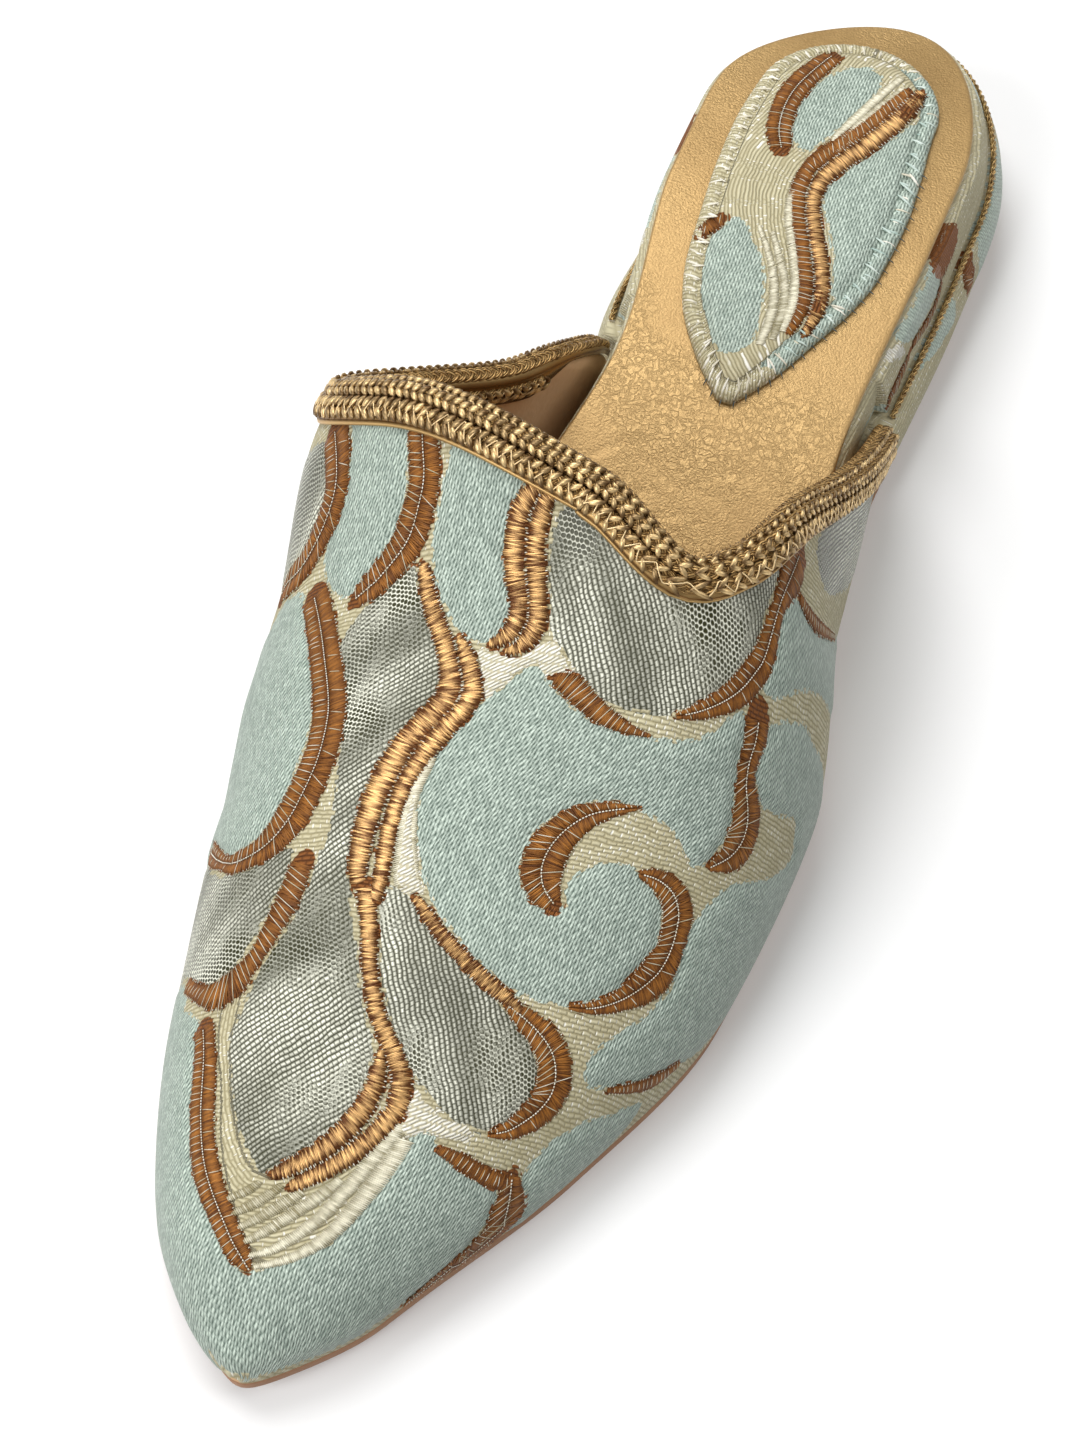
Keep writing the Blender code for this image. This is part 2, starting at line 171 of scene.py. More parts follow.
def insoleTop(along):
    return readTable(heightTable, 1, along) + spring(along)


def seamHeight(along):
    return readTable(heightTable, 2, along)


def feather(along):
    return shoe["outsoleThick"] + shoe["gap"] + spring(along)


def shell(along, angle):
    low, high, _ = outline(along)
    rows = np.clip(along, upperTable[0, 0], upperTable[-1, 0])
    bulgeLeft, bulgeRight, ridge, top = (readTable(upperTable, c, rows) for c in (1, 2, 3, 4))
    toe = np.clip((shoe["length"] - along) / shoe["toeRound"], 0, 1)
    close = np.sqrt(np.clip(1 - (1 - toe) ** 2, 0, 1))
    base = feather(along)
    top = base + (top - base) * close ** shoe["toeClose"]
    ridge = (low + high) / 2 * (1 - close) + ridge * close
    rise = np.clip(np.sin(angle), 0, 1)
    spread = np.abs(np.cos(angle)) ** (2 / shoe["sidePower"])
    onRight = angle < math.pi / 2
    bulge = np.where(onRight, bulgeRight, -bulgeLeft) * close
    edge = np.where(onRight, high, low) + bulge
    tuck = np.where(onRight, (1 - rise) ** shoe["rightTuck"], (1 - rise) ** shoe["leftTuck"])
    across = ridge + (edge - ridge) * spread - bulge * tuck
    return np.stack([across, along, base + (top - base) * rise ** (2 / shoe["crownPower"])], -1)


def slopes(along, angle):
    step, turn = 0.4, 0.01
    ahead = np.minimum(along + step, shoe["length"] - 0.02)
    behind = along - step
    up = np.minimum(angle + turn, math.pi)
    down = np.maximum(angle - turn, 0.0)
    dAlong = (shell(ahead, angle) - shell(behind, angle)) / (ahead - behind)[..., None]
    dAngle = (shell(along, up) - shell(along, down)) / (up - down)[..., None]
    return dAlong, dAngle, unit(np.cross(dAlong, dAngle))


def collar(angle):
    return smoothTable(np.radians(collarTable[:, 0]), collarTable[:, 1], angle)


# station and angle at a distance from the collar's edge, square to it
def fromCollar(angle, distance):
    turn = 0.004
    along = collar(angle)
    run = (collar(np.minimum(angle + turn, math.pi)) - collar(np.maximum(angle - turn, 0))) / (2 * turn)
    dAlong, dAngle, _ = slopes(along, angle)
    ee = (dAlong * dAlong).sum(-1)
    ff = (dAlong * dAngle).sum(-1)
    gg = (dAngle * dAngle).sum(-1)
    stepAlong = ff * run + gg
    stepAngle = -(ee * run + ff)
    size = np.sqrt(stepAlong ** 2 * ee + 2 * stepAlong * stepAngle * ff + stepAngle ** 2 * gg)
    sign = np.sign(stepAlong) / size
    return along + distance * stepAlong * sign, np.clip(angle + distance * stepAngle * sign, 0, math.pi)


# from across, along, height to the frame's x, y, z, still in mm
def place(points):
    points = np.asarray(points, float)
    x = points[..., 0] + shoe["frameAcross"]
    return np.stack([x, shoe["frameAlong"] - points[..., 1], points[..., 2]], -1)


# camera, from the photograph
photo = {
    "width": 1086, "height": 1448,
    "azimuth": 22.92, "elevation": 63.05, "roll": -0.03,
    "distance": 414.96, "sideShift": 12.03, "upShift": 19.77, "aimHeight": 25.0,
    "lens": 66.26, "sensor": 36.0, "pixelsPerMm": 7.0,
}


def photoAxes():
    az, el, roll = (math.radians(photo[k]) for k in ("azimuth", "elevation", "roll"))
    back = np.array((math.sin(az) * math.cos(el), -math.cos(az) * math.cos(el), math.sin(el)))
    right = np.array((math.cos(az), math.sin(az), 0.0))
    up = np.cross(back, right)
    u = math.cos(roll) * right + math.sin(roll) * up
    v = math.cos(roll) * up - math.sin(roll) * right
    aim = np.array((shoe["frameAcross"], -0.1, photo["aimHeight"]))
    eye = aim + photo["distance"] * back - photo["sideShift"] * u - photo["upShift"] * v
    return eye, u, v, back


eye, eyeRight, eyeUp, eyeBack = photoAxes()


def makeCamera():
    data = bpy.data.cameras.new("photoCamera")
    data.lens = photo["lens"]
    data.sensor_width = photo["sensor"]
    data.clip_start = 0.01
    data.clip_end = 20
    camera = bpy.data.objects.new("photoCamera", data)
    camera.matrix_world = Matrix((eyeRight, eyeUp, eyeBack)).transposed().to_4x4()
    camera.matrix_world.translation = Vector(eye * mm)
    bpy.context.scene.collection.objects.link(camera)
    bpy.context.scene.camera = camera


makeCamera()


# a surface that motifs are charted on: points in frame mm, flat coordinates, triangles
def chartSurface(points, flat, triangles):
    flat3 = np.concatenate([flat, np.zeros((len(flat), 1))], 1)
    return {
        "points": points, "flat": flat, "triangles": triangles,
        "inside": points.mean(0) - (0, 0, 40),
        "space": BVHTree.FromPolygons(points.tolist(), triangles.tolist()),
        "sheet": BVHTree.FromPolygons(flat3.tolist(), triangles.tolist()),
    }


def gridQuads(rows, columns):
    wide = columns + 1
    a = (np.arange(rows)[:, None] * wide + np.arange(columns)).ravel()
    return np.stack([a, a + wide, a + wide + 1, a + 1], 1)


def gridTriangles(rows, columns):
    quads = gridQuads(rows, columns)
    return np.concatenate([quads[:, [0, 1, 2]], quads[:, [0, 2, 3]]])


def cornerWeights(a, b, c, p):
    ab, ac, ap = b - a, c - a, p - a
    d00, d01, d11 = ab @ ab, ab @ ac, ac @ ac
    d20, d21 = ap @ ab, ap @ ac
    size = d00 * d11 - d01 * d01 or 1e-12
    second = (d11 * d20 - d01 * d21) / size
    third = (d00 * d21 - d01 * d20) / size
    return np.array((1 - second - third, second, third))


# flat coordinates of a pixel of the photograph; a pixel off the edge takes the nearest point of it
def castPixel(surface, x, y):
    scale = photo["lens"] * photo["height"] / photo["sensor"]
    ray = (x - photo["width"] / 2) * eyeRight - (y - photo["height"] / 2) * eyeUp - scale * eyeBack
    ray /= np.linalg.norm(ray)
    spot, _, face, _ = surface["space"].ray_cast(Vector(eye), Vector(ray))
    if spot is None:
        far = photo["distance"]
        steps = np.arange(far - 130, far + 130, 4)
        tries = [surface["space"].find_nearest(Vector(eye + ray * step)) for step in steps]
        spot, _, face, _ = min(tries, key=lambda found: found[3])
    corners = surface["triangles"][face]
    share = cornerWeights(*surface["points"][corners], np.array(spot))
    return share @ surface["flat"][corners]


# points and normals on the surface at flat coordinates
def liftFlat(surface, spots):
    points, normals = [], []
    for u, v in spots:
        spot, _, face, _ = surface["sheet"].ray_cast(Vector((u, v, 1.0)), Vector((0, 0, -1)))
        if face is None:
            spot, _, face, _ = surface["sheet"].find_nearest(Vector((u, v, 0.0)))
        corners = surface["triangles"][face]
        flat3 = np.concatenate([surface["flat"][corners], np.zeros((3, 1))], 1)
        share = cornerWeights(*flat3, np.array(spot))
        a, b, c = surface["points"][corners]
        normal = np.cross(b - a, c - a)
        normal *= np.sign(normal @ (a - surface["inside"]))
        points.append(share @ surface["points"][corners])
        normals.append(unit(normal))
    return np.array(points), np.array(normals)


# a smooth line through a few chosen points
def smoothLine(points, closed, spacing):
    points = np.asarray(points, float)
    count = len(points)
    line = []
    for i in range(count if closed else count - 1):
        at = [(i + k) % count if closed else min(max(i + k, 0), count - 1) for k in (-1, 0, 1, 2)]
        p0, p1, p2, p3 = points[at]
        steps = max(2, int(np.linalg.norm((p2 - p1)[:2]) / spacing))
        t = np.linspace(0, 1, steps, endpoint=False)[:, None]
        line.append(0.5 * (2 * p1 + (p2 - p0) * t + (2 * p0 - 5 * p1 + 4 * p2 - p3) * t ** 2
                           + (3 * p1 - p0 - 3 * p2 + p3) * t ** 3))
    if not closed:
        line.append(points[-1:])
    return np.concatenate(line)


# spots in a box round a line
def boxed(spots, line, reach):
    return np.where(((spots > line.min(0) - reach) & (spots < line.max(0) + reach)).all(1))[0]


# share along each piece of a line and gap to it, for a few thousand spots at a time
def nearPieces(spots, picked, start, run, most=4000):
    size = np.maximum((run * run).sum(1), 1e-9)
    for part in np.array_split(picked, max(1, len(picked) // most)):
        p = spots[part][:, None, :]
        t = np.clip(((p - start) * run).sum(2) / size, 0, 1)
        yield part, p, t, p - start - t[..., None] * run


# how far each gap lies to the left of its run
def leftOf(run, gap):
    return (run[:, 0] * gap[:, 1] - run[:, 1] * gap[:, 0]) / np.sqrt(np.maximum((run * run).sum(1), 1e-9))


# distance inside a closed line, negative outside, no lower than -reach
def insideDistance(spots, loop, reach=4.0):
    best = np.full(len(spots), -reach)
    end = np.roll(loop, -1, 0)
    run = end - loop
    rise = np.where(np.abs(run[:, 1]) < 1e-9, 1e-9, run[:, 1])
    for part, p, _, gap in nearPieces(spots, boxed(spots, loop, reach), loop, run):
        distance = np.sqrt((gap * gap).sum(2).min(1))
        above = (loop[:, 1] > p[..., 1]) != (end[:, 1] > p[..., 1])
        crossing = loop[:, 0] + (p[..., 1] - loop[:, 1]) * run[:, 0] / rise
        inside = (above & (p[..., 0] < crossing)).sum(1) % 2 == 1
        best[part] = np.maximum(np.where(inside, distance, -distance), -reach)
    return best


# distance inside a band of changing width, and the place across it from -1 to 1
def bandDistance(spots, path, reach=4.0):
    best, across = np.full(len(spots), -reach), np.zeros(len(spots))
    line, half = path[:, :2], path[:, 2]
    run = np.diff(line, axis=0)
    for part, _, t, gap in nearPieces(spots, boxed(spots, line, reach + half.max()), line[:-1], run):
        wide = half[:-1] + t * np.diff(half)
        inside = wide - np.sqrt((gap * gap).sum(2))
        rows, pick = np.arange(len(part)), inside.argmax(1)
        best[part] = np.maximum(inside[rows, pick], -reach)
        across[part] = leftOf(run[pick], gap[rows, pick]) / np.maximum(wide[rows, pick], 0.05)
    return best, across


# run along a line and distance off it, for ribs that follow a band
def followLine(spots, line):
    run = np.diff(line, axis=0)
    walked = walkedLength(line)
    along, off = np.zeros(len(spots)), np.zeros(len(spots))
    for part, _, t, gap in nearPieces(spots, np.arange(len(spots)), line[:-1], run):
        far = (gap * gap).sum(2)
        rows, pick = np.arange(len(part)), far.argmin(1)
        along[part] = walked[pick] + t[rows, pick] * np.diff(walked)[pick]
        off[part] = np.sqrt(far[rows, pick]) * np.where(leftOf(run[pick], gap[rows, pick]) < 0, -1, 1)
    return along, off


# a chart's closed outline in flat coordinates
def chartLoop(surface, pixels):
    return smoothLine([castPixel(surface, x, y) for x, y in pixels], True, 0.8)


# a chart's band: middle line and half width, from pixels and a width in pixels
def chartBand(surface, rows):
    line = smoothLine(rows, False, 6.0)
    side = leftward(unit(np.gradient(line[:, :2], axis=0))) * line[:, 2:3] / 2
    one, two = (np.array([castPixel(surface, *p) for p in line[:, :2] + way * side]) for way in (1, -1))
    middle = (one + two) / 2
    half = np.linalg.norm(one - two, axis=1) / 2
    half = np.minimum(half, line[:, 2] / photo["pixelsPerMm"])
    return np.concatenate([middle, half[:, None]], 1)


# motifs of the upper in pixels of the photograph
aquaChart = {
    "tongueLeft": [(352, 405), (380, 400), (408, 402), (408, 430), (407, 478), (399, 522), (381, 565),
        (366, 583), (350, 597), (338, 596), (328, 584), (325, 562), (329, 540), (345, 496), (352, 440)],
    "tongueRight": [(457, 428), (480, 425), (510, 435), (538, 460), (533, 470), (522, 486), (509, 520),
        (506, 562), (514, 602), (510, 622), (500, 638), (485, 643), (470, 640), (458, 630), (440, 594),
        (433, 545), (449, 458)],
    "lens": [(300, 594), (306, 606), (310, 626), (314, 655), (313, 712), (290, 785), (264, 832), (234, 855),
        (222, 857), (214, 848), (217, 830), (224, 800), (245, 735), (264, 655), (274, 625), (285, 603)],
    "toeCap": [(176, 1013), (199, 1022), (197, 1050), (191, 1115), (193, 1145), (206, 1205), (232, 1258),
        (244, 1272), (262, 1268), (315, 1250), (340, 1234), (375, 1192), (402, 1150), (415, 1137),
        (430, 1133), (443, 1152), (478, 1180), (497, 1190), (494, 1207), (468, 1246), (430, 1282),
        (360, 1335), (300, 1370), (240, 1382), (195, 1360), (165, 1300), (155, 1230), (158, 1150),
        (166, 1080)],
    "toeLobe": [(522, 1180), (546, 1147), (586, 1122), (612, 1114), (642, 1102), (605, 1150), (560, 1195),
        (525, 1225), (508, 1232), (508, 1212)],
    "sideRight": [(770, 729), (786, 722), (804, 725), (812, 741), (822, 790), (808, 870), (777, 945),
        (722, 1025), (690, 1058), (650, 1080), (625, 1087), (602, 1088), (587, 1085), (585, 1070),
        (591, 1055), (622, 1031), (641, 1021), (657, 1003), (672, 985), (682, 944), (697, 916), (732, 884),
        (767, 878), (790, 858), (793, 838), (793, 819), (780, 816), (767, 811), (759, 798), (756, 764)],
    "sideUpper": [(788, 590), (797, 597), (805, 614), (815, 628), (830, 638), (845, 640), (842, 680),
        (834, 720), (826, 704), (812, 692), (795, 692), (785, 698), (768, 697), (762, 685), (767, 664),
        (778, 624), (782, 605)],
    "scroll": [(540, 668), (550, 683), (585, 715), (650, 738), (700, 738), (728, 718), (742, 712),
        (747, 722), (745, 740), (740, 755), (735, 800), (733, 820), (715, 855), (693, 867), (682, 845),
        (665, 825), (632, 806), (595, 802), (575, 808), (540, 828), (521, 860), (521, 880), (528, 892),
        (555, 908), (567, 905), (565, 890), (580, 872), (612, 862), (640, 873), (658, 897), (662, 915),
        (655, 950), (645, 962), (622, 990), (585, 1004), (560, 1005), (522, 995), (505, 985), (475, 958),
        (432, 900), (417, 840), (421, 790), (427, 770), (448, 735), (478, 704), (505, 685), (522, 670)],
}

silverChart = {
    "shoulder": [(330, 440), (329, 470), (319, 517), (301, 556), (288, 575), (279, 590), (276, 570),
        (286, 530), (296, 490), (304, 462)],
    "leaf": [(415, 563), (421, 590), (437, 640), (441, 665), (439, 690), (428, 705), (412, 720), (388, 755),
        (378, 775), (368, 790), (360, 810), (350, 855), (348, 880), (354, 930), (360, 985), (370, 1035),
        (371, 1060), (358, 1105), (330, 1142), (290, 1163), (262, 1171), (252, 1155), (235, 1115),
        (230, 1090), (230, 1060), (235, 1030), (260, 970), (290, 920), (327, 835), (338, 780), (341, 720),
        (338, 680), (340, 650), (352, 625), (367, 606), (400, 575)],
    "lowerLeaf": [(292, 852), (290, 868), (276, 895), (250, 945), (220, 980), (205, 987), (193, 985),
        (184, 970), (188, 930), (196, 895), (206, 872), (218, 876), (238, 872), (262, 862), (280, 848)],
    "teardrop": [(382, 888), (398, 890), (412, 902), (428, 924), (466, 968), (502, 1004), (529, 1040),
        (537, 1060), (538, 1080), (531, 1100), (505, 1128), (488, 1134), (468, 1127), (448, 1116),
        (412, 1073), (388, 1010), (379, 930)],
    "dome": [(572, 505), (600, 500), (640, 520), (680, 560), (720, 575), (760, 560), (785, 545), (783, 565),
        (768, 608), (755, 652), (727, 687), (688, 711), (640, 712), (598, 697), (570, 664), (552, 628),
        (548, 565), (552, 535), (560, 515)],
    "heelSide": [(817, 542), (832, 522), (850, 505), (880, 485), (872, 520), (853, 575), (838, 594),
        (826, 590), (820, 572)],
}

whiteChart = {
    "crescent": [(428, 762), (416, 782), (407, 803), (401, 828), (398, 855), (394, 878), (402, 890),
        (424, 896), (421, 880), (416, 838), (420, 790), (426, 772)],
    "bridge": [(478, 646), (492, 652), (520, 655), (548, 640), (562, 650), (572, 668), (574, 673),
        (549, 677), (541, 667), (527, 667), (507, 683), (489, 697), (483, 690), (479, 668)],
    "fanFold": [(412, 1084), (425, 1100), (447, 1118), (470, 1130), (468, 1140), (440, 1140), (425, 1132),
        (410, 1140), (398, 1128), (404, 1105)],
}

# the far side's ends of motifs that the photograph cuts off: mm along, mm from the ridge
farChart = {
    "aqua": (
        [(156, 46), (160, 57), (168, 64), (176, 66), (184, 62), (190, 54), (193, 44), (184, 38), (168, 40)],
        [(213, 33), (224, 26), (240, 20), (258, 4), (262, 12), (255, 32), (242, 46), (226, 56), (214, 58),
         (210, 45)]),
    "silver": (
        [(193, 42), (196, 52), (203, 56), (209, 50), (212, 40), (206, 34), (197, 38)],
        [(134, 58), (135, 66), (140, 70), (146, 68), (151, 61), (148, 54), (140, 55)]),
}

# rows of pale satin stitches: how white they are, then x, y, width
pearlChart = {
    "fanHem": (1.0, [(254, 1267, 5), (283, 1261, 8), (313, 1247, 11), (340, 1225, 14), (388, 1167, 17),
        (405, 1140, 15)]),
    "fanSecond": (0.9, [(246, 1256, 4), (272, 1250, 8), (303, 1231, 11), (330, 1208, 12), (381, 1150, 14),
        (401, 1124, 12)]),
    "fanThird": (0.6, [(240, 1243, 5), (266, 1231, 9), (320, 1196, 11), (341, 1180, 8)]),
    "fanFourth": (0.35, [(236, 1229, 5), (259, 1218, 9), (286, 1202, 11), (303, 1191, 8)]),
    "fanFifth": (0.25, [(232, 1214, 5), (252, 1205, 9), (270, 1194, 9), (281, 1186, 6)]),
    "fanSixth": (0.15, [(228, 1199, 5), (247, 1191, 8), (260, 1182, 6)]),
    "crescent": (1.0, [(433, 758, 6), (424, 772, 10), (414, 792, 12), (407, 815, 14), (401, 862, 13),
        (400, 884, 10)]),
    "crescentOuter": (0.9, [(416, 812, 4), (413, 832, 7), (412, 852, 9), (413, 872, 10), (416, 891, 9)]),
}

# cream ground whose ribs follow the foot of the leaf
fanGround = [(240, 985), (222, 1012), (220, 1100), (228, 1180), (262, 1264), (330, 1244), (400, 1150),
    (404, 1110), (340, 1150), (262, 1176), (232, 1110), (230, 1060), (238, 1012)]
fanLine = [(240, 960), (231, 1010), (227, 1060), (228, 1100), (236, 1135), (256, 1172), (290, 1172),
    (330, 1155), (370, 1120), (392, 1080)]

# soft creases of the vamp read one by one: x, y at both ends, height, half width in mm
creaseChart = (
    ((232, 1036), (330, 1018), 0.5, 4.0), ((236, 1085), (350, 1052), -0.5, 4.5),
    ((250, 1140), (352, 1100), 0.4, 4.0), ((300, 905), (350, 885), -0.35, 3.5),
    ((345, 700), (430, 655), -0.45, 4.0), ((352, 640), (420, 605), 0.4, 4.0),
    ((342, 770), (385, 742), 0.35, 4.0), ((392, 985), (470, 960), 0.4, 4.5),
    ((405, 1040), (520, 1030), -0.4, 5.0), ((560, 600), (640, 690), -0.4, 5.0),
    ((620, 560), (720, 690), 0.35, 6.0), ((440, 830), (520, 770), 0.3, 6.0),
    ((590, 760), (700, 800), -0.3, 6.0), ((235, 700), (300, 660), 0.35, 5.0),
    ((225, 800), (285, 745), -0.35, 5.0), ((190, 1180), (215, 1290), 0.35, 5.0),
    ((250, 1310), (380, 1260), -0.35, 6.0), ((690, 940), (780, 860), 0.3, 6.0),
)

# copper bands: rows of stitches, how bright they are, then x, y, width
bandChart = {
    "leftTongueLine": (2, 0.0, [(337, 432, 20), (338, 480, 20), (328, 520, 21), (309, 560, 20),
        (296, 578, 18), (284, 594, 15)]),
    "tongueDivide": (2, 0.1, [(423, 424, 28), (424, 450, 30), (425, 475, 30), (421, 500, 31), (409, 540, 32),
        (384, 574, 27), (371, 587, 24), (358, 598, 16)]),
    "innerTongueLeft": (1, 1.0, [(547, 476, 14), (531, 492, 20), (519, 515, 21), (515, 545, 22),
        (515, 575, 22), (519, 600, 20), (517, 620, 20), (507, 636, 17), (490, 644, 9)]),
    "innerTongueRight": (1, 1.0, [(557, 485, 14), (546, 502, 18), (538, 530, 20), (536, 560, 21),
        (538, 612, 20), (533, 633, 20), (519, 648, 15), (506, 651, 8)]),
    "spineLeft": (1, 1.0, [(424, 564, 11), (428, 588, 16), (434, 612, 18), (442, 636, 20), (448, 662, 21),
        (450, 686, 23), (442, 704, 24), (411, 738, 25), (385, 777, 25), (368, 818, 24), (358, 862, 21),
        (358, 884, 16)]),
    "spineRight": (1, 1.0, [(459, 636, 8), (466, 654, 17), (471, 672, 19), (473, 690, 21), (465, 708, 21),
        (433, 743, 21), (408, 779, 20), (393, 817, 19), (384, 860, 18), (380, 882, 17), (374, 898, 18)]),
    "stem": (1, 0.9, [(366, 888, 22), (368, 915, 19), (370, 940, 18), (370, 965, 17), (378, 1015, 17),
        (396, 1058, 20), (402, 1080, 22), (399, 1102, 23), (388, 1121, 22), (350, 1156, 20), (308, 1179, 17),
        (290, 1187, 12)]),
    "leafHem": (1, 0.8, [(381, 1050, 9), (379, 1068, 16), (373, 1090, 21), (361, 1112, 23), (344, 1132, 22),
        (324, 1149, 21), (303, 1161, 19), (284, 1170, 17), (272, 1175, 9)]),
    "lensHem": (2, 0.0, [(316, 598, 22), (326, 650, 25), (328, 710, 27), (319, 760, 31), (298, 806, 33),
        (284, 828, 30), (268, 845, 24), (250, 857, 17), (232, 864, 15), (218, 860, 13), (212, 849, 9)]),
    "lowerLeafHem": (1, 0.1, [(302, 864, 22), (286, 903, 22), (259, 952, 16), (246, 970, 18), (235, 985, 24),
        (215, 996, 24), (198, 993, 18), (188, 986, 10)]),
    "toeLine": (2, 0.1, [(205, 1030, 18), (206, 1055, 20), (202, 1115, 22), (209, 1175, 25), (229, 1232, 25),
        (240, 1254, 22), (248, 1268, 10)]),
    "toeHook": (1, 0.0, [(440, 1150, 10), (458, 1160, 17), (478, 1172, 18), (497, 1181, 18),
        (511, 1182, 14)]),
    "toeHookTail": (2, 0.0, [(511, 1178, 16), (508, 1198, 24), (501, 1218, 26), (487, 1238, 26),
        (467, 1257, 22), (446, 1275, 14), (405, 1303, 5)]),
    "teardropTop": (1, 0.7, [(416, 898, 10), (430, 919, 15), (447, 941, 16), (485, 980, 17), (505, 997, 16),
        (522, 1012, 10)]),
    "teardropHem": (2, 0.3, [(505, 1003, 8), (524, 1018, 22), (541, 1035, 29), (552, 1053, 33),
        (555, 1073, 34), (551, 1092, 33), (540, 1108, 30), (524, 1121, 24), (506, 1131, 16),
        (488, 1134, 6)]),
    "domeHemLeft": (1, 0.2, [(556, 678, 14), (572, 686, 26), (588, 702, 24), (606, 717, 20), (628, 729, 11),
        (650, 736, 4)]),
    "domeHemRight": (2, 0.0, [(797, 556, 22), (791, 572, 22), (784, 590, 14), (777, 610, 12), (764, 655, 20),
        (754, 672, 24), (738, 690, 26), (718, 703, 22), (696, 712, 15), (676, 716, 6)]),
    "sideLobe": (1, 0.0, [(800, 598, 5), (808, 614, 7), (818, 627, 7), (834, 638, 4)]),
    "scrollRight": (2, 0.0, [(757, 721, 24), (754, 742, 22), (748, 762, 18), (745, 785, 19), (746, 805, 25),
        (745, 825, 28), (739, 843, 29), (728, 857, 24), (710, 867, 8)]),
    "scrollHook": (2, 0.2, [(640, 808, 4), (614, 810, 14), (590, 815, 24), (568, 828, 34), (551, 846, 40),
        (542, 866, 42), (543, 886, 38), (553, 903, 22)]),
    "scrollBelly": (2, 0.0, [(640, 874, 8), (658, 880, 22), (672, 893, 28), (677, 912, 30), (674, 932, 26),
        (668, 952, 26), (657, 972, 34), (640, 988, 30), (618, 1001, 20), (593, 1008, 13), (568, 1007, 5)]),
    "lowerRight": (1, 0.0, [(608, 1090, 6), (630, 1088, 8), (655, 1080, 7), (678, 1064, 4)]),
}

# motifs of the heel pad
padAquaChart = {
    "back": [(800, 101), (820, 82), (845, 70), (870, 69), (882, 78), (876, 94), (860, 111), (820, 143),
        (808, 152), (797, 145), (792, 132)],
    "side": [(925, 118), (900, 134), (846, 172), (829, 185), (823, 200), (832, 247), (833, 272), (831, 295),
        (850, 290), (880, 250), (905, 200), (920, 150)],
    "oval": [(738, 218), (750, 231), (764, 275), (758, 325), (749, 343), (735, 353), (720, 350), (707, 335),
        (697, 285), (698, 262), (705, 243), (720, 228)],
}

padPearlChart = {
    "backUpper": (1.0, [(902, 78, 5), (878, 98, 7), (854, 120, 7), (832, 140, 5)]),
    "backMiddle": (0.7, [(904, 88, 4), (882, 106, 6), (858, 126, 6), (836, 146, 4)]),
    "backLower": (0.9, [(902, 97, 4), (882, 114, 6), (860, 133, 6), (836, 152, 4)]),
    "inner": (1.0, [(795, 192, 7), (789, 212, 9), (795, 270, 9), (794, 300, 10), (782, 332, 8)]),
    "middle": (0.6, [(772, 232, 5), (781, 262, 7), (785, 290, 8), (782, 315, 8), (772, 340, 6)]),
    "outer": (0.9, [(759, 226, 4), (769, 255, 6), (774, 285, 8), (771, 315, 9), (759, 345, 7)]),
}

padBandChart = {
    "hook": (2, 0.0, [(832, 58, 14), (815, 70, 20), (797, 87, 24), (785, 106, 25), (779, 128, 25),
        (781, 147, 22)]),
    "spineLeft": (1, 0.2, [(908, 92, 10), (890, 107, 15), (866, 127, 16), (818, 160, 16), (803, 180, 16),
        (797, 204, 16), (804, 262, 16), (805, 290, 16), (800, 312, 14), (788, 333, 8)]),
    "spineRight": (1, 1.0, [(922, 94, 12), (908, 110, 18), (884, 133, 18), (834, 169, 17), (819, 187, 17),
        (813, 206, 16), (816, 236, 16), (821, 263, 16), (822, 290, 16), (816, 314, 15), (803, 337, 8)]),
    "nick": (1, 0.0, [(694, 238, 8), (708, 228, 14), (722, 219, 12)]),
}


# a wire is a node's output that sums can be written with
class Wire:
    def __init__(self, tree, socket):
        self.tree = tree
        self.socket = socket

    def __add__(self, other):
        return calc("ADD", self, other)

    def __sub__(self, other):
        return calc("SUBTRACT", self, other)

    def __rsub__(self, other):
        return calc("SUBTRACT", other, self)

    def __mul__(self, other):
        return calc("MULTIPLY", self, other)

    def __truediv__(self, other):
        return calc("DIVIDE", self, other)

    def floor(self):
        return calc("FLOOR", self)

    def fract(self):
        return calc("FRACT", self)

    # round over each whole step
    def hump(self):
        return calc("SINE", self.fract() * math.pi)

    def ease(self, low, high):
        return wire(self.tree, "ShaderNodeMapRange", {"interpolation_type": "SMOOTHSTEP"}, {
            0: self, 1: low, 2: high})

    def blend(self, first, second):
        return wire(self.tree, "ShaderNodeMix", {"data_type": "FLOAT"}, {0: self, 2: first, 3: second})

    def blendColour(self, first, second):
        return wire(self.tree, "ShaderNodeMix", {"data_type": "RGBA"}, {0: self, 6: first, 7: second}, 2)


def plug(tree, socket, value):
    if isinstance(value, Wire):
        tree.links.new(value.socket, socket)
    else:
        socket.default_value = value


def feed(tree, node, values):
    for name, value in values.items():
        plug(tree, node.inputs[name], value)


def put(tree, kind, options=None, inputs=None):
    made = tree.nodes.new(kind)
    for name, value in (options or {}).items():
        setattr(made, name, value)
    feed(tree, made, inputs or {})
    return made


def wire(tree, kind, options=None, inputs=None, output=0):
    return Wire(tree, put(tree, kind, options, inputs).outputs[output])


def calc(operation, *values):
    tree = next(value.tree for value in values if isinstance(value, Wire))
    return wire(tree, "ShaderNodeMath", {"operation": operation}, dict(enumerate(values)))


def joined(tree, *parts):
    return wire(tree, "ShaderNodeCombineXYZ", None, dict(enumerate(parts)))


def readAttribute(tree, name):
    return wire(tree, "ShaderNodeAttribute", {"attribute_name": name}, None, "Fac")


def noise(tree, spot, scale, detail, distortion=0.0, output=0):
    return wire(tree, "ShaderNodeTexNoise", None, {
        "Vector": spot, "Scale": scale, "Detail": detail, "Distortion": distortion}, output)


